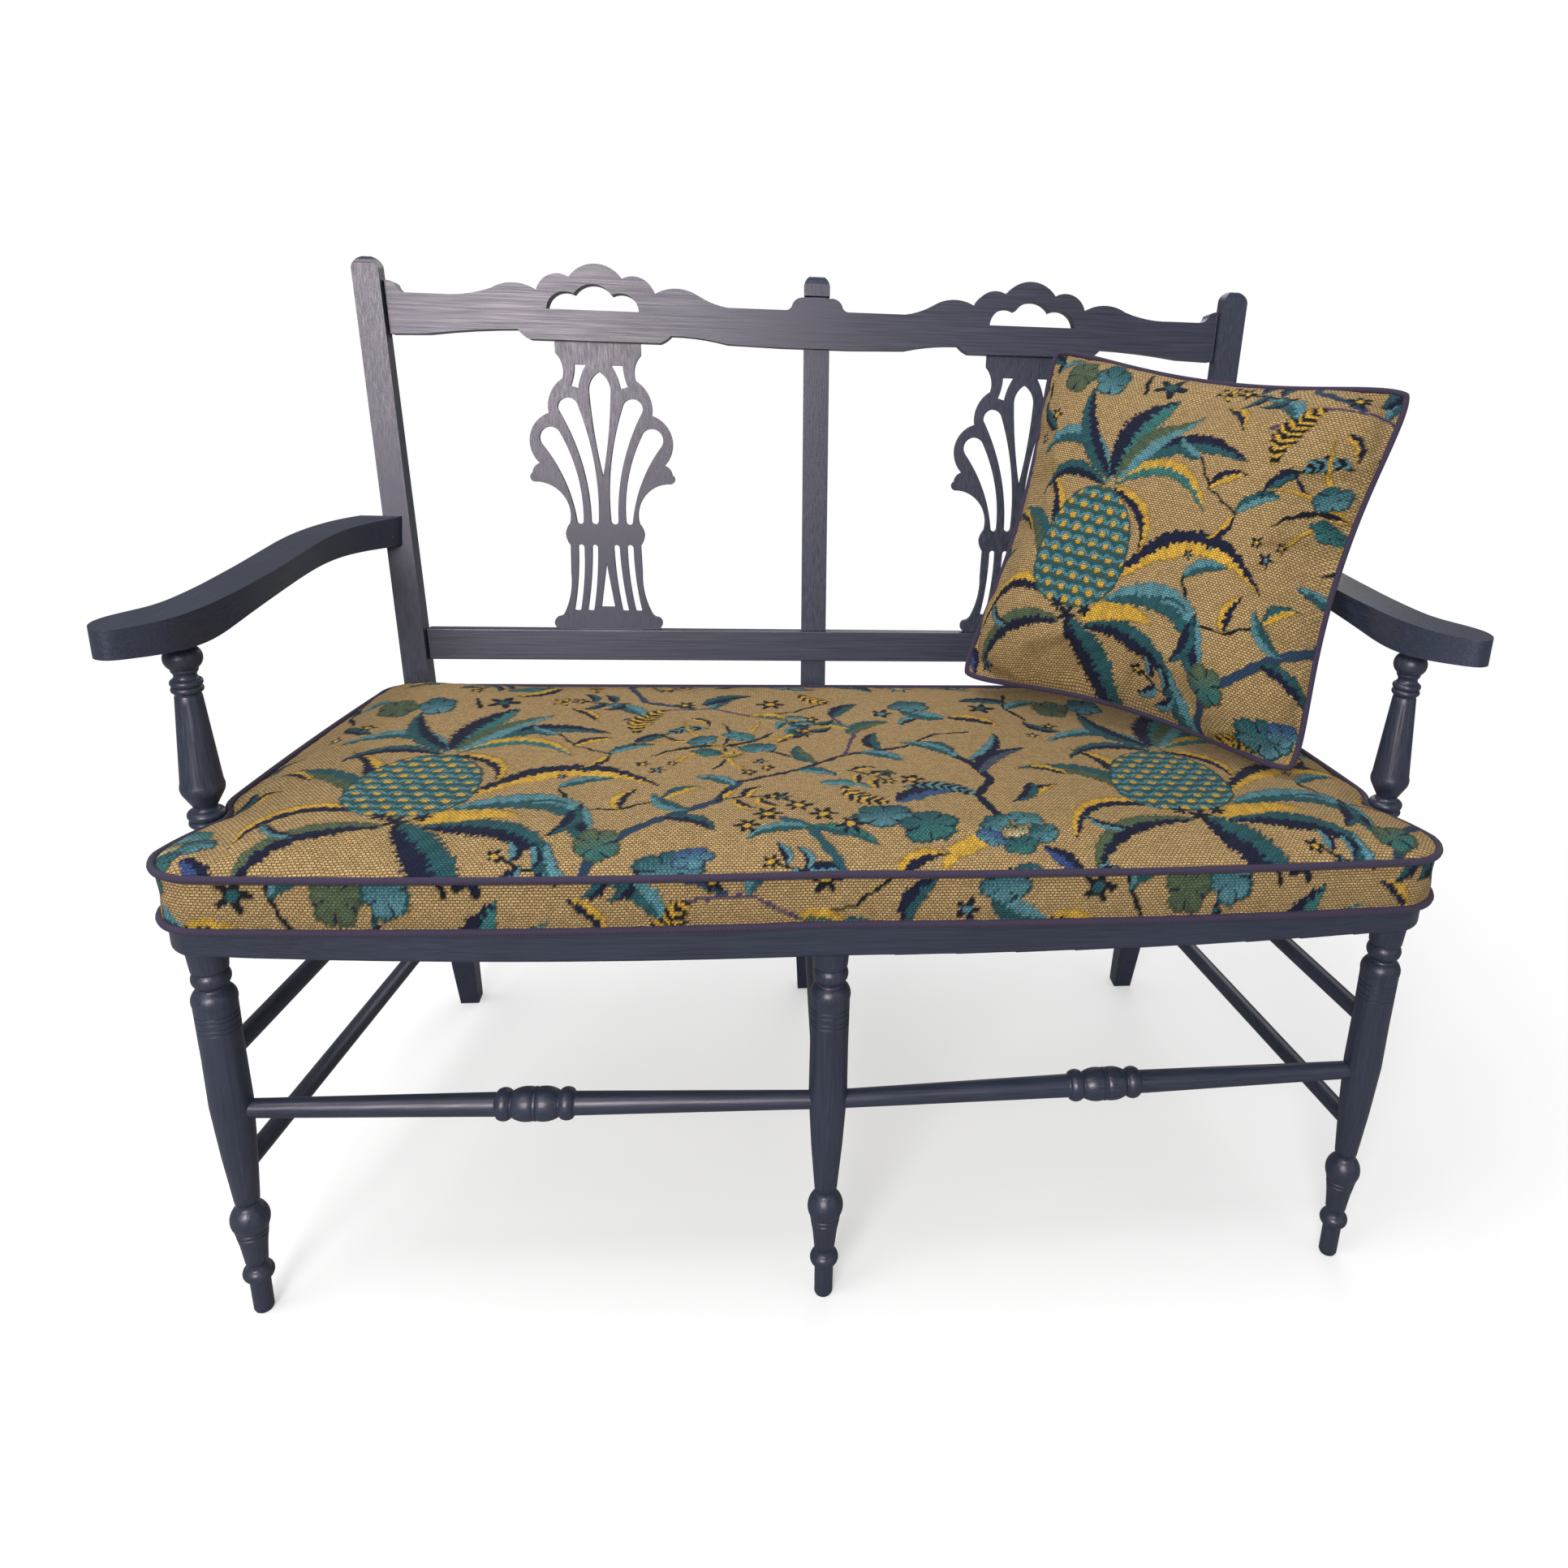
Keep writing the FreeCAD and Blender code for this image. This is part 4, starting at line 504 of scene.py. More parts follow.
LEAVES = [
    ((204, 156), (264, 46), 9, 18, TEAL, NAVY), ((198, 152), (98, 84), -27, 11, NAVY, OLIVE),
    ((224, 168), (346, 56), 32, 7, BARK, LEAF), ((226, 150), (334, 106), 20, 13, TEAL, NAVY),
    ((220, 156), (300, 168), 12, 12, OCHRE, OCHRE), ((190, 174), (90, 122), -42, 9, NAVY, OCHRE),
    ((240, 182), (356, 124), 46, 15, SKY, TEAL), ((164, 196), (62, 262), -30, 12, OLIVE, TEAL),
    ((158, 226), (124, 314), -14, 9, NAVY, OCHRE), ((248, 208), (404, 226), 46, 14, NAVY, OCHRE),
    ((212, 312), (350, 352), 34, 13, NAVY, TEAL), ((214, 308), (322, 292), 36, 10, OCHRE, LEAF),
    ((214, 304), (264, 238), 20, 8, OCHRE, NAVY), ((208, 308), (106, 326), -38, 11, TEAL, SKY),
    ((206, 304), (120, 284), -24, 8, NAVY, TEAL), ((206, 300), (164, 256), -9, 6, NAVY, OCHRE),
    ((212, 314), (252, 424), 8, 17, NAVY, LEAF), ((217, 314), (288, 404), 9, 12, OLIVE, SKY),
    ((208, 314), (160, 412), 14, 11, TEAL, NAVY),
    ((352, 70), (324, 132), 10, 10, TEAL, SKY), ((354, 60), (440, 92), 12, 9, OCHRE, BARK, True),
    ((350, 64), (296, 78), 9, 6, OCHRE, OLIVE), ((364, 124), (344, 196), 14, 9, TEAL, NAVY),
    ((410, 166), (452, 142), 9, 8, TEAL, NAVY), ((430, 180), (398, 214), 8, 8, SKY, TEAL),
    ((300, 44), (318, 2), 6, 9, BARK, OCHRE, True), ((440, 60), (486, 92), 11, 9, OCHRE, TEAL),
    ((558, 78), (606, 62), 9, 8, TEAL, SKY), ((552, 100), (512, 84), -8, 7, SKY, NAVY),
    ((528, 146), (584, 122), 9, 7, LEAF, TEAL), ((528, 146), (476, 132), -7, 7, TEAL, SKY),
    ((604, 188), (664, 214), 12, 12, NAVY, BLUE), ((598, 190), (560, 228), 10, 11, NAVY, OCHRE, True),
    ((30, 130), (-24, 96), -9, 9, OCHRE, OCHRE), ((60, 118), (88, 78), 6, 8, NAVY, IRIS),
    ((20, 204), (-44, 222), -12, 9, BARK, SKY, True), ((30, 252), (84, 312), 12, 10, NAVY, ASH),
    ((14, 292), (-36, 330), -10, 9, TEAL, SKY), ((24, 282), (60, 352), -9, 8, SKY, NAVY),
    ((520, 262), (556, 250), 6, 7, TEAL, SKY), ((540, 280), (524, 324), 8, 8, TEAL, OLIVE),
    ((580, 306), (620, 282), 7, 8, SKY, TEAL), ((600, 312), (600, 356), 8, 8, NAVY, TEAL),
    ((640, 330), (668, 302), 7, 7, TEAL, SKY), ((572, 352), (616, 384), 9, 9, TEAL, OLIVE),
    ((576, 366), (534, 372), -7, 7, OCHRE, LEAF), ((560, 396), (588, 436), 7, 9, NAVY, TEAL),
    ((392, 420), (372, 352), -10, 13, BARK, OCHRE, True), ((372, 404), (330, 436), -9, 10, TEAL, SKY),
    ((440, 424), (470, 462), 8, 9, SKY, TEAL), ((476, 402), (520, 384), 8, 8, OCHRE, OLIVE),
    ((300, 424), (330, 384), 8, 6, OCHRE, NAVY), ((420, 396), (438, 372), 5, 5, NAVY, OCHRE),
    ((92, 440), (38, 446), -9, 9, TEAL, NAVY), ((86, 424), (128, 446), 8, 8, SKY, TEAL),
    ((20, 398), (70, 372), 10, 10, OCHRE, NAVY), ((20, 398), (-26, 432), 10, 12, TEAL, SKY),
    ((560, 440), (528, 470), 7, 9, OCHRE, BARK, True), ((430, -36), (478, -8), 9, 9, TEAL, NAVY),
    ((120, 20), (176, 44), 9, 8, OCHRE, TEAL), ((60, 24), (14, 44), -9, 8, NAVY, SKY),
    ((352, 300), (392, 322), 8, 7, TEAL, SKY), ((352, 300), (330, 268), 5, 5, NAVY, OCHRE),
    ((596, 92), (640, 112), 9, 8, OCHRE, NAVY), ((470, 60), (512, 54), 8, 8, TEAL, SKY),
    ((470, 60), (440, 26), -8, 7, NAVY, OLIVE), ((566, 30), (606, 4), 8, 8, NAVY, TEAL),
    ((566, 30), (582, 66), -6, 6, SKY, TEAL), ((504, 330), (540, 352), 7, 6, OCHRE, NAVY),
    ((400, 350), (372, 318), -7, 7, TEAL, NAVY), ((280, 24), (240, -10), 8, 8, NAVY, OCHRE),
    ((626, 376), (650, 396), 6, 6, SKY, NAVY), ((466, 228), (430, 246), -7, 7, TEAL, SKY),
    ((540, 232), (586, 220), 8, 7, LEAF, SKY), ((134, 140), (104, 164), 6, 5, SKY, NAVY),
    ((70, 200), (96, 226), 6, 6, NAVY, OCHRE), ((300, 196), (334, 190), 5, 4, TEAL, SKY),
    ((338, 184), (322, 138), 8, 8, TEAL, NAVY), ((372, 182), (384, 222), 7, 7, OCHRE, NAVY),
    ((318, 226), (362, 244), 7, 7, SKY, TEAL), ((318, 322), (352, 340), 6, 7, NAVY, OCHRE),
    ((300, 352), (272, 376), 6, 7, TEAL, SKY), ((400, 350), (440, 366), 7, 8, BARK, SKY, True),
    ((408, 202), (440, 226), 6, 7, TEAL, OCHRE), ((72, 232), (48, 190), 7, 7, TEAL, NAVY),
    ((76, 268), (112, 244), 6, 6, OCHRE, NAVY), ((128, 356), (96, 388), 7, 7, NAVY, TEAL),
]
print("drawn so far:", len(STEMS), "stems,", len(LEAVES), "leaves")

# %% [markdown]
# The open flower throws out long threads, each an angle, a length and a tone. Sprigs fill the
# gaps, each a base, a heading, a length and two tones. A petal is its centre, half width, half
# height, tilt, outer and inner tone. A small flower is its centre, radius, number of petals,
# outer and inner tone.

# %% Flower, sprigs, petals and small flowers of the design
FLOWER = (452, 320)
THREADS = [
    (14, 84, OCHRE), (40, 66, NAVY), (64, 82, OCHRE), (92, 64, NAVY), (118, 84, OCHRE), (150, 74, NAVY),
    (176, 86, OCHRE), (204, 70, BARK), (232, 74, OCHRE), (262, 60, NAVY), (296, 76, OCHRE), (334, 82, NAVY),
]
for angle, length, tone in THREADS:
    turn = math.radians(angle)
    away = (FLOWER[0] + length * math.cos(turn), FLOWER[1] + length * math.sin(turn))
    LEAVES.append((FLOWER, away, 9 if angle % 4 else -8, 2.6, tone, tone))
SPRIGS = [
    ((532, 346), 82, 46, TEAL, NAVY), ((452, 198), 8, 48, NAVY, OCHRE), ((28, 98), -60, 54, TEAL, SKY),
    ((216, 54), -112, 48, NAVY, TEAL), ((330, 98), 158, 46, SKY, NAVY), ((352, 54), -8, 58, TEAL, OCHRE),
    ((540, 98), 168, 44, NAVY, SKY), ((602, 86), -68, 56, TEAL, NAVY), ((356, 440), 172, 50, NAVY, TEAL),
    ((508, 398), -58, 44, TEAL, SKY), ((566, 262), -36, 44, NAVY, OCHRE),
]
FRUITS = [((200, 236), 136, 106, -0.06)]
PATCHES = [
    ((434, 334), 17, 12, 0.7, TEAL, SKY), ((468, 346), 18, 12, -0.5, LEAF, SKY),
    ((486, 316), 19, 12, 0.2, TEAL, SKY), ((440, 304), 15, 10, -0.3, TEAL, LEAF),
    ((462, 298), 13, 9, 0.4, OCHRE, OLIVE), ((362, 128), 19, 21, 0.3, OLIVE, LEAF),
    ((590, 164), 28, 21, 0.2, TEAL, SKY), ((626, 148), 27, 23, 0.5, TEAL, LEAF),
    ((418, 100), 30, 20, 0.1, TEAL, SKY), ((436, 112), 18, 12, 0.3, BLUE, SKY),
    ((26, 150), 17, 12, 0.9, TEAL, SKY), ((52, 158), 18, 12, -0.3, LEAF, SKY),
    ((64, 136), 16, 12, 0.6, TEAL, SKY), ((42, 122), 17, 12, 0.1, TEAL, LEAF),
    ((20, 130), 14, 10, -0.6, BLUE, SKY), ((42, 140), 12, 9, 0.0, OLIVE, CREAM),
    ((134, 424), 20, 26, 0.0, OLIVE, OLIVE), ((170, 430), 19, 26, 0.1, TEAL, SKY),
    ((640, 430), 22, 18, 0.2, TEAL, SKY), ((250, 20), 24, 16, 0.3, TEAL, LEAF),
    ((520, 30), 26, 18, -0.2, TEAL, SKY),
]
BLOSSOMS = [
    ((494, 170), 13, 6, BARK, OCHRE), ((520, 186), 12, 6, NAVY, OCHRE), ((540, 168), 13, 6, BARK, OCHRE),
    ((562, 150), 12, 6, NAVY, OCHRE), ((478, 150), 11, 6, BARK, OCHRE), ((506, 204), 10, 6, BARK, SKY),
    ((478, 258), 8, 5, NAVY, OCHRE), ((494, 268), 7, 5, BARK, OCHRE), ((488, 284), 7, 5, NAVY, SKY),
    ((398, 262), 8, 5, NAVY, SKY), ((384, 276), 7, 5, BARK, OCHRE), ((410, 278), 6, 5, NAVY, OCHRE),
    ((108, 96), 10, 5, SKY, NAVY), ((92, 56), 12, 5, SKY, NAVY), ((128, 60), 10, 5, TEAL, OCHRE),
    ((150, 40), 9, 5, SKY, BARK), ((204, 160), 11, 5, NAVY, BARK), ((190, 170), 8, 5, NAVY, BARK),
    ((222, 168), 8, 5, BARK, NAVY), ((60, 426), 15, 5, BARK, TEAL), ((232, 440), 17, 5, NAVY, TEAL),
    ((290, 444), 12, 5, OCHRE, BARK), ((412, 436), 11, 6, BARK, OCHRE), ((498, 436), 15, 6, BARK, OCHRE),
    ((610, 408), 12, 5, NAVY, SKY), ((120, 372), 9, 5, BARK, OCHRE), ((98, 346), 7, 5, NAVY, CREAM),
    ((318, 250), 6, 5, NAVY, SKY), ((338, 262), 5, 5, BARK, SKY), ((622, 240), 12, 5, BARK, OCHRE),
    ((600, 254), 10, 5, OLIVE, NAVY), ((636, 20), 14, 6, SKY, OCHRE), ((390, 20), 13, 6, BARK, OCHRE),
]
print(len(PATCHES), "petals,", len(BLOSSOMS), "small flowers,", len(SPRIGS), "sprigs")

# %% [markdown]
# A sprig is a short stem with four leaves and a flower at its tip. One function plants it, by
# adding its parts to the lists, so a base, a heading and a length are enough.

# %% Plant the sprigs
def plant(base, heading, size, left, right):
    """Add a sprig to the lists: a short stem with four leaves and a small flower at its tip."""
    ahead = np.array([math.cos(math.radians(heading)), math.sin(math.radians(heading))]) * size
    side = np.array([-ahead[1], ahead[0]])
    base = np.array(base)
    STEMS.append(([base, base + ahead * 0.5 + side * 0.08, base + ahead], 1.4, BARK))
    for share, way in ((0.12, 1), (0.32, -1), (0.52, 1), (0.72, -1)):
        start = base + ahead * share
        LEAVES.append((start, start + ahead * 0.32 + side * way * 0.45, way * 5, size * 0.11, left, right))
    BLOSSOMS.append((base + ahead, size * 0.17, 5, BARK, OCHRE))


for shape in SPRIGS:
    plant(*shape)
print("with the sprigs:", len(LEAVES), "leaves and", len(BLOSSOMS), "small flowers")

# %% [markdown]
# Last, every shape is run over every point, the stems first and the small flowers on top, as
# they overlap on the cloth. Each point is nudged by up to a millimetre before it asks, because
# a woven edge is ragged where it climbs from thread to thread.

# %% Colour of any point of the cloth
RAGGED_EDGE = 0.495 * MM


def woven_colours(points):
    """Colour of the cloth at each point, with 1 in the fourth value where raised yarn lies."""
    ragged = np.sin(points[:, ::-1] / (2.3 * MM)) + np.sin(points * 1.7 / (3.1 * MM) + 1.3)
    p = points + ragged * RAGGED_EDGE
    colours = np.zeros((len(p), 4))
    colours[:, :3] = shade(GROUND)
    for route, width, tone in STEMS:
        stem(p, colours, route, width, tone)
    for shape in LEAVES:
        leaf(p, colours, *shape)
    for shape in PATCHES:
        patch(p, colours, *shape)
    for shape in FRUITS:
        fruit(p, colours, *shape)
    for shape in BLOSSOMS:
        blossom(p, colours, *shape)
    return colours


sample = np.array([[200, 236], [20, 20]]) * MM
print("yarn in the fruit and beside it:", woven_colours(sample)[:, 3])

# %% [markdown]
# ## Tapestry cloth and piping
#
# The cover is a heavy furnishing tapestry of wool and cotton: a ribbed sand ground, and thicker
# coloured yarn that stands up where the design lies. Wool has almost no shine, so the roughness
# is high and the specular level low, with a touch of sheen for the fuzz. The design's fourth
# value, 1 under raised yarn, drives both the relief and how much of the ribbing shows. Real ribs
# lie about a millimetre and a half apart, and are drawn a little wider here so that they show.

# %% Tapestry
RIB = 2.3 * MM
STITCH_LENGTH = 3.4 * MM
RIB_GAP = 0.6 * MM
YARN_HEIGHT = 1.0 * MM
FUZZ = 1.3 * MM
WANDER = 6 * MM
# The gaps between the ribs are painted dark: painted shade where the cloth dips between ribs.
BRIGHT_STITCH, DULL_STITCH, GAP_PAINTED_SHADE = (1.0, 1.0, 1.0, 1), (0.70, 0.68, 0.64, 1), (0.28, 0.25, 0.22, 1)


def tapestry():
    """Ribbed wool and cotton, coloured by the design of its piece."""
    material, tree = new_material("TapestryCloth")
    design = add(tree, "ShaderNodeAttribute", {"attribute_name": "design"}, {})
    place = add(tree, "ShaderNodeUVMap", {"uv_map": "cloth"}, {})
    wander = add(tree, "ShaderNodeTexNoise", {}, {
        "Vector": place.outputs[0], "Scale": 1 / WANDER, "Detail": 2.0})
    drift = add(tree, "ShaderNodeVectorMath", {"operation": "SCALE"}, {
        0: wander.outputs["Color"], "Scale": 0.9 * MM})
    moved = add(tree, "ShaderNodeVectorMath", {"operation": "ADD"}, {
        0: place.outputs[0], 1: drift.outputs[0]})
    # Stitches in two random tones, with painted shade in the gaps between them.
    weave_with_gap_shade = add(tree, "ShaderNodeTexBrick", {"offset": 0.5}, {
        "Vector": moved.outputs[0], "Scale": 1.0, "Brick Width": STITCH_LENGTH, "Row Height": RIB,
        "Mortar Size": RIB_GAP, "Mortar Smooth": 1.0, "Bias": 0.0,
        "Color1": BRIGHT_STITCH, "Color2": DULL_STITCH, "Mortar": GAP_PAINTED_SHADE})
    fuzz = add(tree, "ShaderNodeTexNoise", {}, {
        "Vector": place.outputs[0], "Scale": 1 / FUZZ, "Detail": 3.0})
    fuzz_tone = add(tree, "ShaderNodeMapRange", {}, {
        "Value": fuzz.outputs["Fac"], "From Min": 0.3, "From Max": 0.7, "To Min": 0.62, "To Max": 1.24})
    held = add(tree, "ShaderNodeMapRange", {}, {
        "Value": design.outputs["Alpha"], "To Min": 0.95, "To Max": 0.5})
    threads = add(tree, "ShaderNodeMix", {"data_type": "RGBA", "blend_type": "MULTIPLY"}, {
        "Factor": held.outputs[0], "A": design.outputs["Color"], "B": weave_with_gap_shade.outputs["Color"]})
    colour = add(tree, "ShaderNodeVectorMath", {"operation": "SCALE"}, {
        0: threads.outputs["Result"], "Scale": fuzz_tone.outputs[0]})
    yarn = add(tree, "ShaderNodeMath", {"operation": "MULTIPLY_ADD"}, {
        0: design.outputs["Alpha"], 1: 1.5, 2: fuzz.outputs["Fac"]})
    height = add(tree, "ShaderNodeMath", {"operation": "SUBTRACT"}, {
        0: yarn.outputs[0], 1: weave_with_gap_shade.outputs["Fac"]})
    relief = add(tree, "ShaderNodeBump", {}, {
        "Height": height.outputs[0], "Distance": YARN_HEIGHT, "Strength": 1.0})
    shader = add(tree, "ShaderNodeBsdfPrincipled", {}, {
        "Base Color": colour.outputs[0], "Roughness": 0.9, "Specular IOR Level": 0.15,
        "Sheen Weight": 0.04, "Sheen Roughness": 0.5, "Normal": relief.outputs[0]})
    finish_material(tree, shader)
    return material


cloth = tapestry()
print("cloth", cloth.name, "with ribs", round(RIB / MM, 1), "mm apart")

# %% [markdown]
# The seams are covered cords. Their plum cotton twill has slanting ribs and is nearly as dull
# as the wool. The ribs follow the cord's own flat cloth, not the room, so they slant alike
# all the way round.

# %% Piping twill
TWILL_RIB = 6 * MM
TWILL_WEAR = 9 * MM
TWILL_DEPTH = 0.3 * MM
TWILL_SLANT = math.radians(40)
DARK_PLUM, LIGHT_PLUM, WORN_PLUM = "#2a2334", "#42384e", "#382f44"


def piping_cloth():
    """Plain plum twill over a cord."""
    material, tree = new_material("PlumTwill")
    place = add(tree, "ShaderNodeUVMap", {"uv_map": "cloth"}, {})
    turn = add(tree, "ShaderNodeMapping", {}, {
        "Vector": place.outputs[0], "Rotation": (0, 0, TWILL_SLANT)})
    ribs = add(tree, "ShaderNodeTexWave", {}, {
        "Vector": turn.outputs[0], "Scale": 1 / TWILL_RIB, "Distortion": 1.0})
    wear = add(tree, "ShaderNodeTexNoise", {}, {"Vector": place.outputs[0], "Scale": 1 / TWILL_WEAR})
    colour = add(tree, "ShaderNodeMix", {"data_type": "RGBA"}, {
        "Factor": ribs.outputs["Fac"], "A": rgba(DARK_PLUM), "B": rgba(LIGHT_PLUM)})
    worn = add(tree, "ShaderNodeMix", {"data_type": "RGBA"}, {
        "Factor": wear.outputs["Fac"], "A": colour.outputs["Result"], "B": rgba(WORN_PLUM)})
    relief = add(tree, "ShaderNodeBump", {}, {"Height": ribs.outputs["Fac"], "Distance": TWILL_DEPTH})
    shader = add(tree, "ShaderNodeBsdfPrincipled", {}, {
        "Base Color": worn.outputs["Result"], "Roughness": 0.85, "Specular IOR Level": 0.25,
        "Sheen Weight": 0.06, "Normal": relief.outputs[0]})
    finish_material(tree, shader)
    return material


twill = piping_cloth()
print("piping", twill.name)

# %% [markdown]
# ## Building soft covers
#
# A sewn cover is flat cloth pulled over a fat filling, so its faces swell, its seams hold and
# small creases run out from them. A cover here starts as a grid of quads that already has the
# right form, with its flat cloth position stored as UV. A cloth modifier then puffs it from
# inside with the seams pinned, and the movement is capped so that it stays clear of its
# neighbours. Two levels of subdivision make it fine enough to carry the design.

# %% Mesh with flat cloth
def mesh_from(name, points, faces, flat):
    """A mesh with one flat cloth place for each corner of each face."""
    mesh = bpy.data.meshes.new(name)
    mesh.from_pydata([tuple(p) for p in points], [], faces)
    layer = mesh.uv_layers.new(name="cloth")
    layer.data.foreach_set("uv", np.array(flat, np.float32).ravel())
    mesh.polygons.foreach_set("use_smooth", [True] * len(mesh.polygons))
    piece = bpy.data.objects.new(name, mesh)
    bpy.context.scene.collection.objects.link(piece)
    return piece


def places(mesh):
    flat = np.zeros(len(mesh.vertices) * 3)
    mesh.vertices.foreach_get("co", flat)
    return flat.reshape(-1, 3)


print("cover grids hold their flat cloth in the UV map called cloth")

# %% [markdown] The pressure is pushed for a few frames only: the cloth bulges and wrinkles,
# and stops before it would settle into a balloon.

# %% Puffing
PUFF_FRAMES = 20


def puff(piece, pinned, pressure, slack, cap):
    """Blow the cover up with its seams held, and cap how far each point has moved."""
    mesh = piece.data
    before = places(mesh)
    group = piece.vertex_groups.new(name="held")
    group.add([int(index) for index in pinned], 1.0, "REPLACE")
    modifier = piece.modifiers.new("Cloth", "CLOTH")
    settings = modifier.settings
    settings.vertex_group_mass = "held"
    settings.use_pressure = True
    settings.uniform_pressure_force = pressure
    settings.shrink_min = -slack
    settings.tension_stiffness = 25
    settings.compression_stiffness = 12
    settings.bending_stiffness = 0.6
    settings.effector_weights.gravity = 0
    settings.quality = 6
    modifier.collision_settings.use_collision = False
    for number in range(1, PUFF_FRAMES + 1):
        bpy.context.scene.frame_set(number)
    solved = piece.evaluated_get(bpy.context.evaluated_depsgraph_get()).data
    moved = places(solved) - before
    length = np.linalg.norm(moved, axis=1, keepdims=True)
    moved *= np.minimum(1, cap / np.maximum(length, 1e-9))
    piece.modifiers.remove(modifier)
    piece.vertex_groups.remove(group)
    mesh.vertices.foreach_set("co", (before + moved).ravel())
    mesh.update()
    bpy.context.scene.frame_set(1)
    print(piece.name, "puffed by up to", round(float(np.linalg.norm(moved, axis=1).max()) / MM, 1), "mm")


print("puffing runs", PUFF_FRAMES, "frames")

# %% [markdown]
# Subdivision rounds everything, also the seams, so the scatter cushion's seam gets a crease
# that holds it at its cord. The design is stored as a colour on every fine point.

# %% Refining and colouring
def keep_seams(piece, pinned):
    """Hold the seams where they are while the cover is refined."""
    mesh = piece.data
    ends = np.zeros(len(mesh.edges) * 2, int)
    mesh.edges.foreach_get("vertices", ends)
    seam = np.isin(ends.reshape(-1, 2), list(pinned)).all(1)
    layer = mesh.attributes.new("crease_edge", "FLOAT", "EDGE")
    layer.data.foreach_set("value", seam.astype(np.float32))


def refine(piece, levels):
    modifier = piece.modifiers.new("Fine", "SUBSURF")
    modifier.levels = modifier.render_levels = levels
    modifier.boundary_smooth = "PRESERVE_CORNERS"
    make_active(piece)
    bpy.ops.object.modifier_apply(modifier=modifier.name)


def colour_by_design(piece):
    """Store the design's colour on every point of the cover, from its flat cloth place."""
    mesh = piece.data
    uv = np.zeros(len(mesh.loops) * 2)
    mesh.uv_layers["cloth"].data.foreach_get("uv", uv)
    corner = np.zeros(len(mesh.loops), int)
    mesh.loops.foreach_get("vertex_index", corner)
    flat = np.zeros((len(mesh.vertices), 2))
    flat[corner] = uv.reshape(-1, 2)
    layer = mesh.color_attributes.new("design", "FLOAT_COLOR", "POINT")
    layer.data.foreach_set("color", woven_colours(flat).astype(np.float32).ravel())


def close_below(piece, lining):
    """Fill the open bottom of a cover with one flat lining."""
    piece.data.materials.append(lining)
    bm = bmesh.new()
    bm.from_mesh(piece.data)
    open_edges = [edge for edge in bm.edges if edge.is_boundary]
    for face in bmesh.ops.edgeloop_fill(bm, edges=open_edges)["faces"]:
        face.material_index = 1
        face.smooth = False
    bmesh.ops.recalc_face_normals(bm, faces=bm.faces)
    bm.to_mesh(piece.data)
    bm.free()


print("refining tools ready")

# %% [markdown]
# Piping is a cord inside a strip of cloth. It is a tube swept along the seam, ten sided, which
# is round enough at three millimetres, with the cloth's length along the seam as its UV.

# %% Covered cord
def tube(name, route, radius, body, sides=10):
    """A covered cord along a closed route, with its cloth laid along it."""
    route = np.array(route)
    count = len(route)
    ahead = np.roll(route, -1, 0) - np.roll(route, 1, 0)
    ahead /= np.linalg.norm(ahead, axis=1, keepdims=True)
    level = route - route.mean(0)
    normal = np.linalg.svd(level, full_matrices=False)[2][2]
    outward = np.cross(ahead, normal)
    steps = np.linalg.norm(np.roll(route, -1, 0) - route, axis=1)
    along = np.concatenate([[0], np.cumsum(steps)])
    turns = np.linspace(0, 2 * np.pi, sides, endpoint=False)
    points = [route[i] + radius * (math.cos(a) * outward[i] + math.sin(a) * normal)
              for i in range(count) for a in turns]
    faces, flat = [], []
    girth = 2 * math.pi * radius / sides
    for i in range(count):
        for j in range(sides):
            k, m = (i + 1) % count, (j + 1) % sides
            faces.append((i * sides + j, k * sides + j, k * sides + m, i * sides + m))
            flat += [(along[i], j * girth), (along[i + 1], j * girth),
                     (along[i + 1], (j + 1) * girth), (along[i], (j + 1) * girth)]
    piece = mesh_from(name, points, faces, flat)
    bm = bmesh.new()
    bm.from_mesh(piece.data)
    bmesh.ops.recalc_face_normals(bm, faces=bm.faces)
    bm.to_mesh(piece.data)
    bm.free()
    piece.data.materials.append(twill)
    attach(piece, body)
    return piece


print("cord tool ready:", tube.__doc__)

# %% [markdown]
# ## Seat cushion
#
# The real squab is foam in a boxed cover: a top and a bottom panel, a strip of boxing between
# them, and a cord in both seams. Its plan follows the seat: a bowed front, round front corners,
# a dent that lets each arm support pass, tapering sides and a straight back. The plan is a list
# of places as shares of half the width and of the depth. The third value bends the line to the
# next place: the height of an arc as a share of half its chord.

# %% Outline of the seat cushion
PLAN = [
    (0.0, 0.0, 0.025), (0.922, 0.014, 0.40), (1.0, 0.104, 0.08),
    (0.961, 0.2125, -0.364), (0.961, 0.2915, 0.12), (0.966, 0.348, 0.02),
    (0.885, 0.939, 0.38), (0.836, 1.0, 0.0), (0.0, 1.0, 0.0),
]
cover_low, cover_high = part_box("seat_cushion_cover")
rim_low, rim_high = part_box("seat_cushion_piping_top")
CORD = (rim_high.z - rim_low.z) / 2
RIM = (rim_high.z + rim_low.z) / 2


def arc_points(first, last, bulge, count):
    """Points along an arc, from its first place up to but not including its last."""
    first, last = np.array(first), np.array(last)
    share = np.linspace(0, 1, count, endpoint=False)[:, None]
    chord = last - first
    outward = np.array([chord[1], -chord[0]])
    if abs(bulge) < 1e-6:
        return first + chord * share
    half_angle = 2 * math.atan(bulge)
    centre = (first + last) / 2 - outward * (1 / math.tan(half_angle)) / 2
    angle = -half_angle + 2 * half_angle * share
    arm = (first + last) / 2 + outward * bulge / 2 - centre
    return centre + np.hstack([arm[0] * np.cos(angle) - arm[1] * np.sin(angle),
                               arm[0] * np.sin(angle) + arm[1] * np.cos(angle)])


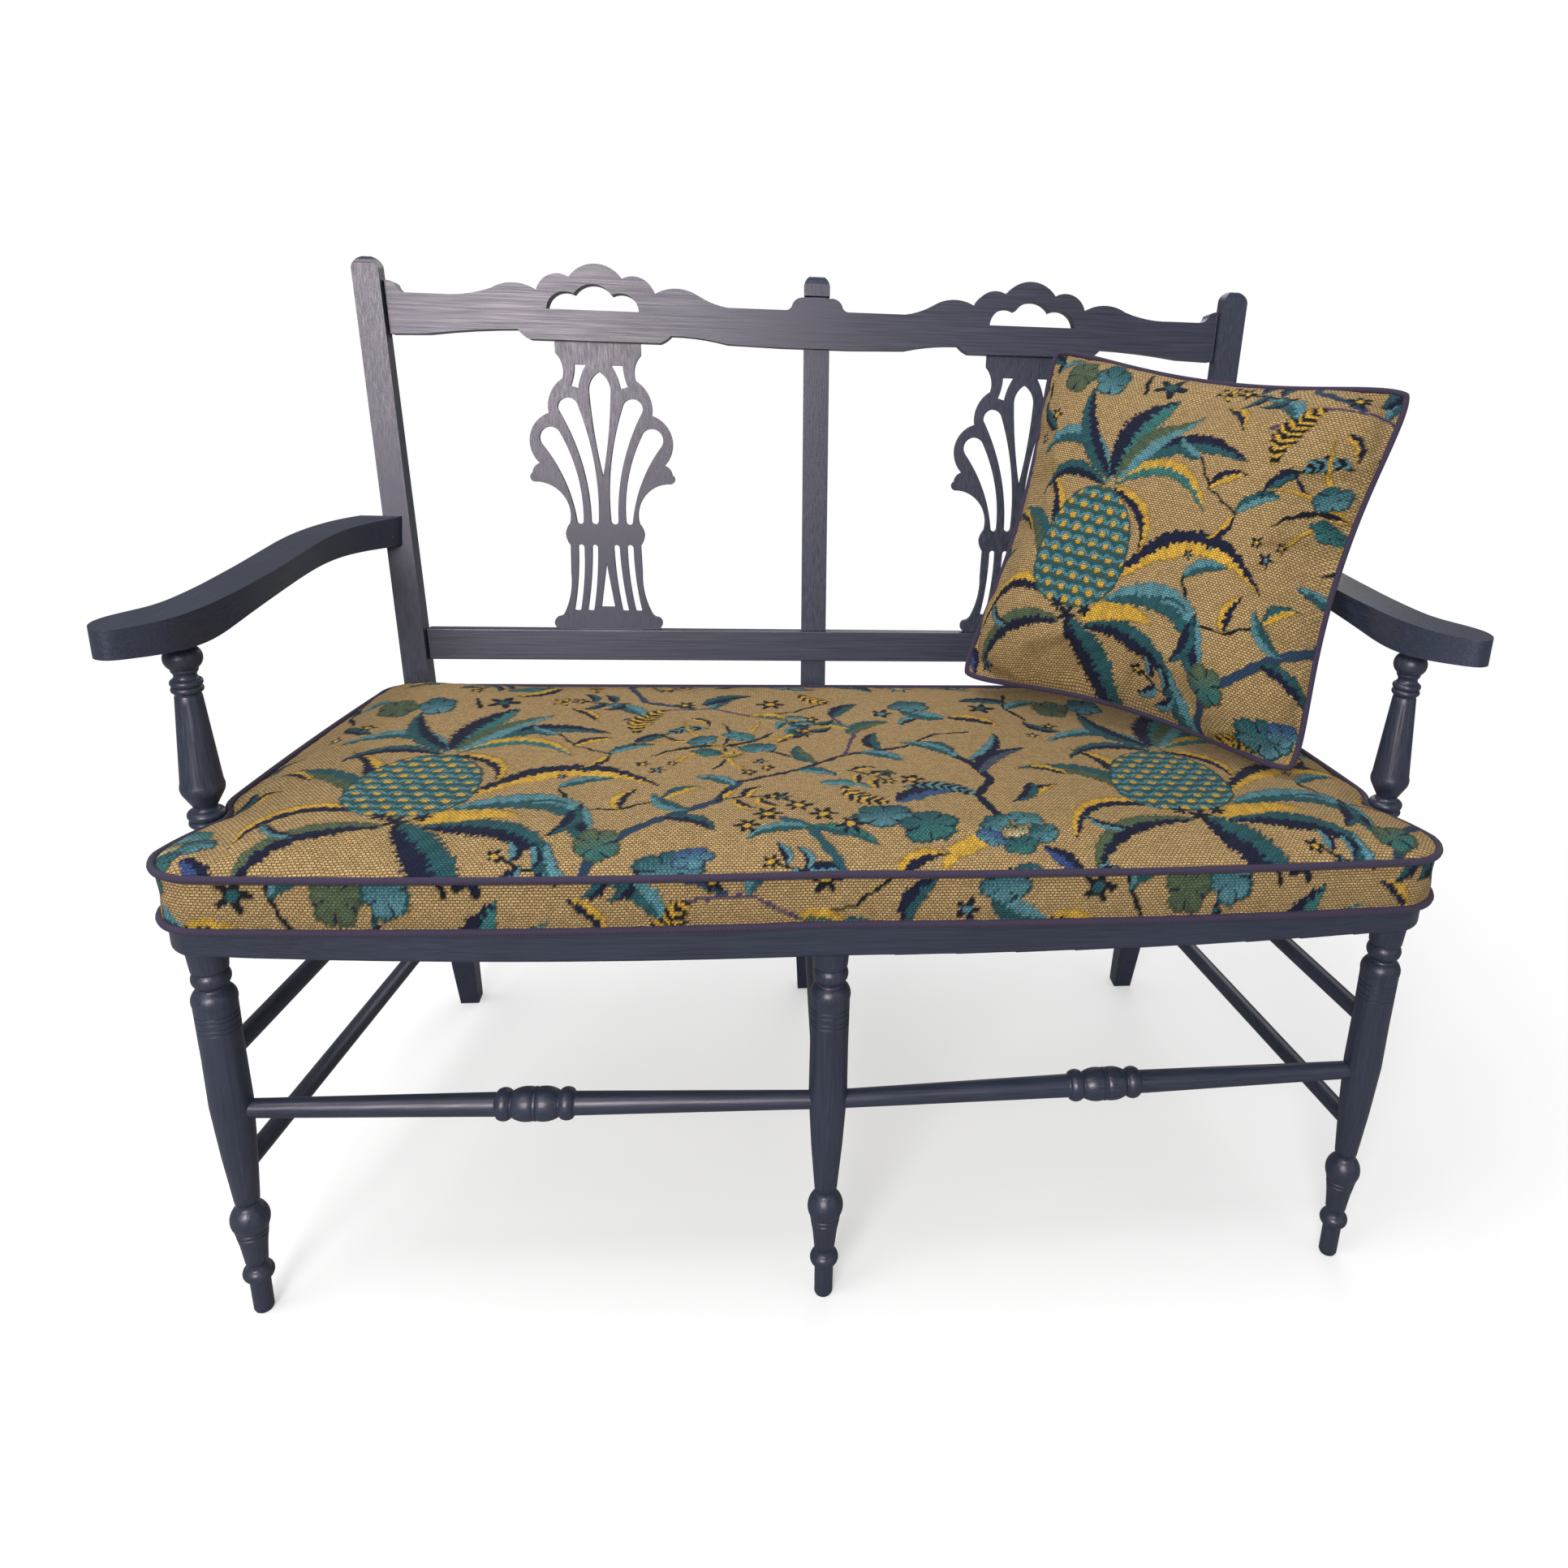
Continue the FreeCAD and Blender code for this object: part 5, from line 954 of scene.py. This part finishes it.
ARC_STEPS = 24
half_width = (cover_high.x - cover_low.x) / 2
depth = cover_high.y - cover_low.y
right = np.vstack([arc_points((wide * half_width, cover_low.y + deep * depth),
                              (end[0] * half_width, cover_low.y + end[1] * depth), bulge, ARC_STEPS)
                   for (wide, deep, bulge), end in zip(PLAN, PLAN[1:])])
outline = np.vstack([right, (right * (-1, 1))[::-1][:-1]])
print("outline points", len(outline), "half width", round(half_width, 4), "depth", round(depth, 4))

# %% [markdown]
# The outline is split into front, right, back and left runs, and the top is filled between
# them, so every row of quads follows the shape of the seat. Cloth pulled over a form does the
# same, and a plain grid cut by the outline would leave slivers along the seam.

# %% Grid of its top
COLUMNS = 160
ROWS = 68


def resampled(route, count):
    """Evenly spaced points along an open route."""
    steps = np.concatenate([[0], np.cumsum(np.linalg.norm(np.diff(route, axis=0), axis=1))])
    at = np.linspace(0, steps[-1], count + 1)
    return np.column_stack([np.interp(at, steps, route[:, axis]) for axis in (0, 1)])


def four_sides(outline, corners):
    """Cut a closed outline at the points nearest to its four corners."""
    cuts = [int(np.linalg.norm(outline - corner, axis=1).argmin()) for corner in corners]
    runs = []
    for start, stop in zip(cuts, cuts[1:] + cuts[:1]):
        stop = stop if stop > start else stop + len(outline)
        runs.append(outline[np.arange(start, stop + 1) % len(outline)])
    return runs


CORNERS = [(-0.97, 0.05), (0.97, 0.05), (0.87, 0.985), (-0.87, 0.985)]
corners = [(wide * half_width, cover_low.y + deep * depth) for wide, deep in CORNERS]
front, right_side, back, left_side = four_sides(outline, corners)
front = resampled(front, COLUMNS)
right_side = resampled(right_side, ROWS)
back = resampled(back, COLUMNS)[::-1]
left_side = resampled(left_side, ROWS)[::-1]


def filled(i, j):
    """A place inside the outline, blended from its four sides."""
    s, t = i / COLUMNS, j / ROWS
    edges = (1 - t) * front[i] + t * back[i] + (1 - s) * left_side[j] + s * right_side[j]
    tips = ((1 - s) * (1 - t) * front[0] + s * (1 - t) * front[-1]
            + (1 - s) * t * back[0] + s * t * back[-1])
    return edges - tips


plan = np.array([[filled(i, j) for i in range(COLUMNS + 1)] for j in range(ROWS + 1)])
ring = ([(0, i) for i in range(COLUMNS)] + [(j, COLUMNS) for j in range(ROWS)]
        + [(ROWS, i) for i in range(COLUMNS, 0, -1)] + [(j, 0) for j in range(ROWS, 0, -1)])
rim = np.array([plan[place] for place in ring])
print("top grid", plan.shape, "rim", len(rim))

# %% [markdown]
# The top swells quickly from its seam and then almost levels out, because foam is flat and only
# its wadding is soft. The boxing bellies a little between its two cords. The design starts at
# a chosen place on the top, so that a fruit lies near each end of the seat.

# %% Points of the seat cushion
BOXING = [0.0, 0.2, 0.42, 0.65, 0.86, 1.0]
BELLY = 1.4 * MM
CLEARANCE = 0.3 * MM
TOP_START = np.array((547 * MM, 149 * MM - LEG_LINE))
BOXING_START = 392 * MM
SHOULDER = 17 * MM
RIPPLE = 0.8 * MM
PUFF_ROOM = 1.2 * MM
crown = cover_high.z - RIM - PUFF_ROOM


def crown_height(point):
    gap = float(np.linalg.norm(rim - point, axis=1).min())
    lift = 1 - math.exp(-(gap / SHOULDER) ** 0.9)
    ripple = RIPPLE * math.sin(point[0] / (61 * MM) + 1.1) * math.sin(point[1] / (47 * MM))
    return lift * crown + ripple * min(1, gap / (60 * MM))


points, lookup = [], {}
for j in range(ROWS + 1):
    for i in range(COLUMNS + 1):
        lookup["top", j, i] = len(points)
        points.append((*plan[j, i], RIM + crown_height(plan[j, i])))
normals = np.roll(rim, -1, 0) - np.roll(rim, 1, 0)
normals = np.column_stack([normals[:, 1], -normals[:, 0]]) / np.linalg.norm(normals, axis=1)[:, None]
base = cover_low.z + CLEARANCE
for level, share in enumerate(BOXING[:-1]):
    belly = BELLY * math.sin(math.pi * share)
    for index in range(len(ring)):
        lookup["side", level, index] = len(points)
        points.append((*(rim[index] + normals[index] * belly), base + (RIM - base) * share))
for index, place in enumerate(ring):
    lookup["side", len(BOXING) - 1, index] = lookup["top", *place]
print("seat cushion points", len(points))

# %% [markdown]
# The faces are quads between those points. Each corner also gets its place in the flat cloth:
# the top is laid as it lies, and the boxing is one long strip measured along the seam.

# %% Faces of the seat cushion
faces, flat = [], []
for j in range(ROWS):
    for i in range(COLUMNS):
        quad = [(j, i), (j, i + 1), (j + 1, i + 1), (j + 1, i)]
        faces.append([lookup["top", *place] for place in quad])
        flat += [tuple(plan[place] + TOP_START) for place in quad]
steps = np.linalg.norm(np.roll(rim, -1, 0) - rim, axis=1)
along = np.concatenate([[0], np.cumsum(steps)])
for index in range(len(ring)):
    after = (index + 1) % len(ring)
    for level in range(len(BOXING) - 1):
        low, high = BOXING[level] * (RIM - base), BOXING[level + 1] * (RIM - base)
        faces.append([lookup["side", level, index], lookup["side", level, after],
                      lookup["side", level + 1, after], lookup["side", level + 1, index]])
        flat += [(along[index], low + BOXING_START), (along[index + 1], low + BOXING_START),
                 (along[index + 1], high + BOXING_START), (along[index], high + BOXING_START)]
seat = mesh_from("seat_cushion", points, faces, flat)
print("seat cushion quads", len(faces))

# %% [markdown]
# The cover is puffed, refined and coloured, and its flat underside is filled last, because
# subdividing one face with hundreds of corners takes minutes. It stands for the cover and the
# foam of the CAD model, and it is a padded piece, so it may be fuller than its solid.

# %% Puff and finish the seat cushion
held = {index for key, index in lookup.items() if key[0] == "side" and key[1] in (0, len(BOXING) - 1)}
puff(seat, held, pressure=1.5, slack=0.012, cap=3.0 * MM)
refine(seat, 2)
colour_by_design(seat)
seat.data.materials.append(cloth)
close_below(seat, twill)
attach(seat, "seat_cushion")
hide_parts("seat_cushion_cover", "seat_cushion_core")
print("seat cushion faces", len(seat.data.polygons))

# %% [markdown]
# The two cords of the seat cushion lie just outside its seams, half sunk in the cloth as a
# sewn cord is.

# %% Cords of the seat cushion
for level, height in (("top", RIM), ("bottom", cover_low.z + CORD)):
    route = [(*place, height) for place in rim + normals * CORD * 0.55]
    cord = tube("seat_cushion_cord_" + level, route, CORD * 0.95, "seat_cushion")
    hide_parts("seat_cushion_piping_" + level)
print("cord radius", round(CORD / MM, 2), "mm")

# %% [markdown]
# ## Scatter cushion
#
# A scatter cushion is two squares of cloth sewn round a cord and overfilled with feathers. The
# filling draws the sides in, so the corners stick out as soft ears, and each face rises fast
# from the seam and is fullest in the middle. One corner of this one is pulled a little wide.
# It leans in the corner of the seat, so a matrix turns and places a cushion made upright. The
# matrix goes into the points, because a finished piece stays at the origin.

# %% Form of the scatter cushion
scatter_low, scatter_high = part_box("scatter_cushion_cover")
SCATTER_CENTRE = Vector((342 * MM, 250.5 * MM + LEG_LINE, 645.2 * MM))
FACING, LEANING, ROLLED = math.radians(-42.0), math.radians(-23.3), math.radians(2.1)
SCATTER_TURN = (Matrix.Rotation(FACING, 4, "Z") @ Matrix.Rotation(LEANING, 4, "X")
                @ Matrix.Rotation(ROLLED, 4, "Y"))
HALF = 190 * MM
FULLNESS = 56 * MM
DRAW = 0.125
BLUNT = 0.07
SPREAD = 10 * MM
RISE = 27 * MM
CELLS = 64
FRUIT_START = (262 * MM, 268 * MM)


def scatter_place(s, t, face):
    """A place on the cushion's front (-1) or back (1) face, from -1 to 1 each way."""
    blunt = 1 - BLUNT * abs(s * t) ** 6
    across = HALF * s * (1 - DRAW * (1 - t * t)) * blunt - SPREAD * (1 + t) * (1 - s) / 4
    up = HALF * t * (1 - DRAW * (1 - s * s)) * blunt
    inward = HALF * (1 - min(1, (s ** 6 + t ** 6) ** (1 / 6)))
    swell = 1 - math.exp(-(inward / RISE) ** 0.8)
    corner = 1 - 0.35 * abs(s * t) ** 3
    return Vector((across, face * FULLNESS * swell * corner, up))


print("packed cover fills", [round(size / MM) for size in scatter_high - scatter_low], "mm;",
      "this one starts", round(2 * HALF / MM), "mm square")

# %% [markdown]
# Front and back share the points of their seam, so the cover is closed. The flat cloth of both
# faces starts at the same place in the repeat, with a fruit to the left of the middle.

# %% Points and faces of the scatter cushion
placing = Matrix.Translation(SCATTER_CENTRE) @ SCATTER_TURN
points, lookup, faces, flat = [], {}, [], []
for face in (-1, 1):
    for j in range(CELLS + 1):
        for i in range(CELLS + 1):
            edge = i in (0, CELLS) or j in (0, CELLS)
            if edge and face == 1:
                lookup[face, j, i] = lookup[-1, j, i]
                continue
            lookup[face, j, i] = len(points)
            points.append(placing @ scatter_place(2 * i / CELLS - 1, 2 * j / CELLS - 1, face))
for face in (-1, 1):
    for j in range(CELLS):
        for i in range(CELLS):
            quad = [(j, i), (j, i + 1), (j + 1, i + 1), (j + 1, i)][::-face]
            faces.append([lookup[face, *place] for place in quad])
            flat += [(FRUIT_START[0] + (2 * b / CELLS - 1) * HALF,
                      FRUIT_START[1] + (2 * a / CELLS - 1) * HALF) for a, b in quad]
scatter = mesh_from("scatter_cushion", points, faces, flat)
print("scatter cushion quads", len(faces))

# %% [markdown]
# Feathers give more than foam, so this cover is puffed harder than the seat cushion. Its seam
# is held by the cord on the real one, and here by the pinned points and a crease.

# %% Puff and finish the scatter cushion
held = {lookup[-1, j, i] for j in range(CELLS + 1) for i in range(CELLS + 1)
        if i in (0, CELLS) or j in (0, CELLS)}
puff(scatter, held, pressure=2.5, slack=0.035, cap=9 * MM)
keep_seams(scatter, held)
refine(scatter, 2)
colour_by_design(scatter)
scatter.data.materials.append(cloth)
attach(scatter, "scatter_cushion")
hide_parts("scatter_cushion_cover", "scatter_cushion_pad")
print("scatter cushion faces", len(scatter.data.polygons))

# %% [markdown]
# Its cord runs once round the seam, over all four sides in turn, and a hair's breadth outside
# it, so that no light shows between cord and cloth.

# %% Cord of the scatter cushion
OUTSIDE_SEAM = 1.003
edge = np.linspace(-1, 1, CELLS * 2, endpoint=False)
loop = [(s, -1) for s in edge] + [(1, s) for s in edge]
loop += [(-s, 1) for s in edge] + [(-1, -s) for s in edge]
route = [placing @ (scatter_place(s, t, -1) * OUTSIDE_SEAM) for s, t in loop]
cord = tube("scatter_cushion_cord", [tuple(p) for p in route], CORD * 0.9, "scatter_cushion")
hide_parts("scatter_cushion_piping")
print("scatter cord points", len(route))

# %% [markdown]
# ## Zip of the seat cushion
#
# The CAD node already has the tape, teeth and pull of the zip in the back of the boxing, which
# hides against the back rail. Dyed to match the piping, it only needs the same twill.

# %% Zip
give("seat_cushion_zip", twill)
zip_low, zip_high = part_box("seat_cushion_zip")
print("zip length", round((zip_high.x - zip_low.x) / MM), "mm")

# %% [markdown]
# ## Studio
#
# Furniture is photographed on a pale floor without an end. A plane does for that, if the
# camera sees it turn to plain white away from the bench: the soft shadow by the legs stays, and
# no horizon shows. Satin wood mirrors what stands round it, and a white floor would make it
# look chalky, so to every other ray the same floor is a dim grey. All of it is in one material,
# by Light Path's Is Camera Ray.

# %% Studio paper
PAPER_NEAR, PAPER_FAR = 0.7, 1.9
WHITENED_NEAR, WHITENED_FAR = 0.35, 1.0
WHITE_PAPER, ROOM_FLOOR = "#fafafa", "#8a8a8a"
FLOOR_SIZE = 24


def paper():
    material, tree = new_material("PaleStudioPaper")
    path = add(tree, "ShaderNodeLightPath", {}, {})
    tone = add(tree, "ShaderNodeMix", {"data_type": "RGBA"}, {
        "Factor": path.outputs["Is Camera Ray"], "A": rgba(ROOM_FLOOR), "B": rgba(WHITE_PAPER)})
    lit = add(tree, "ShaderNodeBsdfDiffuse", {}, {"Color": tone.outputs["Result"]})
    white = add(tree, "ShaderNodeEmission", {}, {"Strength": 1.0})
    place = add(tree, "ShaderNodeTexCoord", {}, {})
    reach = add(tree, "ShaderNodeVectorMath", {"operation": "LENGTH"}, {0: place.outputs["Object"]})
    fade = add(tree, "ShaderNodeMapRange", {"interpolation_type": "SMOOTHSTEP"}, {
        "Value": reach.outputs["Value"], "From Min": PAPER_NEAR, "From Max": PAPER_FAR,
        "To Min": WHITENED_NEAR, "To Max": WHITENED_FAR})
    seen = add(tree, "ShaderNodeMath", {"operation": "MULTIPLY"}, {
        0: fade.outputs["Result"], 1: path.outputs["Is Camera Ray"]})
    mixed = add(tree, "ShaderNodeMixShader", {}, {
        0: seen.outputs[0], 1: lit.outputs[0], 2: white.outputs[0]})
    finish_material(tree, mixed)
    return material


bpy.ops.object.select_all(action="DESELECT")
bpy.ops.mesh.primitive_plane_add(size=FLOOR_SIZE, location=(0, 0, 0))
floor = bpy.context.object
floor.name = floor.data.name = "studio_floor"
floor.data.materials.append(paper())
print("floor", floor.name, "across", round(floor.dimensions.x, 1), "m")

# %% [markdown]
# Four soft lamps: a broad window at the front left, whose reflection pales the upper left of
# the back, a skylight, a weak fill and a dim window behind for whoever walks round. Each has
# its place, the point it looks at, its diameter in metres and its power in watts.

# %% Lamps
LAMPS = {
    "window": ((-0.95, -2.95, 1.75), (-0.1, 0, 0.6), 1.3, 80),
    "skylight": ((-1.2, -0.6, 3.2), (0, 0.2, 0.45), 1.8, 46),
    "fill": ((2.6, -2.2, 1.6), (0, 0, 0.45), 2.2, 6),
    "rear_window": ((0.9, 3.2, 2.1), (0, 0, 0.5), 2.4, 26),
}
for name, (place, aim, size, power) in LAMPS.items():
    lamp = bpy.data.lights.new(name, "AREA")
    lamp.shape = "DISK"
    lamp.size = size
    lamp.energy = power
    holder = bpy.data.objects.new(name, lamp)
    holder.location = place
    holder.rotation_euler = (Vector(aim) - Vector(place)).to_track_quat("-Z", "Y").to_euler()
    bpy.context.scene.collection.objects.link(holder)
print(len(LAMPS), "lamps")

# %% [markdown]
# A white room gives the even light of an overcast day. The camera sees it pure white, cloth is
# lit by it more weakly, and the wood's gloss sees it dim, so that the paint stays deep.

# %% White room
ROOM_SEEN, ROOM_LIGHT, ROOM_GLOSS = 1.0, 0.6, 0.2
world = bpy.data.worlds.new("StudioRoom")
world.use_nodes = True
tree = world.node_tree
tree.nodes.clear()
path = add(tree, "ShaderNodeLightPath", {}, {})
bounce = add(tree, "ShaderNodeMix", {}, {
    "Factor": path.outputs["Is Glossy Ray"], "A": ROOM_LIGHT, "B": ROOM_GLOSS})
strength = add(tree, "ShaderNodeMix", {}, {
    "Factor": path.outputs["Is Camera Ray"], "A": bounce.outputs["Result"], "B": ROOM_SEEN})
room = add(tree, "ShaderNodeBackground", {}, {
    "Color": rgba("#ffffff"), "Strength": strength.outputs["Result"]})
add(tree, "ShaderNodeOutputWorld", {}, {"Surface": room.outputs[0]})
bpy.context.scene.world = world
bpy.context.scene.view_settings.view_transform = "Standard"
print("studio ready")

# %% [markdown]
# ## Camera
#
# A wide lens close to the bench, a little left of its middle and turned to the right, as a
# hand held telephone would be. The picture is square, and the lens is shifted because the
# picture was cropped. Focal length and centre are in pixels of the picture, as a fit to known
# lines gives them, and the angles are in radians.

# %% Camera
PICTURE = 1932
SENSOR = 36.0
FOCAL = 1500.0
CENTRE = (1112.83, 844.53)
STAND = Vector((-57 * MM, LEG_LINE - 899 * MM, 887 * MM))
yaw, pitch, roll = 0.1213, 0.3242, 0.0417
sight = Vector((math.sin(yaw) * math.cos(pitch), math.cos(yaw) * math.cos(pitch), -math.sin(pitch)))
level = Vector((math.cos(yaw), -math.sin(yaw), 0))
upright = level.cross(sight)
across = level * math.cos(roll) + upright * math.sin(roll)
above = -level * math.sin(roll) + upright * math.cos(roll)
camera = bpy.data.objects.new("camera", bpy.data.cameras.new("camera"))
camera.data.sensor_width = SENSOR
camera.data.lens = SENSOR * FOCAL / PICTURE
camera.data.shift_x = -(CENTRE[0] - PICTURE / 2) / PICTURE
camera.data.shift_y = (CENTRE[1] - PICTURE / 2) / PICTURE
turn = Matrix((across, above, -sight)).transposed().to_4x4()
camera.matrix_world = Matrix.Translation(STAND) @ turn
bpy.context.scene.collection.objects.link(camera)
bpy.context.scene.camera = camera
print("lens", round(camera.data.lens, 2), "mm, shift", round(camera.data.shift_x, 4),
      round(camera.data.shift_y, 4))

# %% [markdown]
# Only the soft covers and their cords may reach a little further.
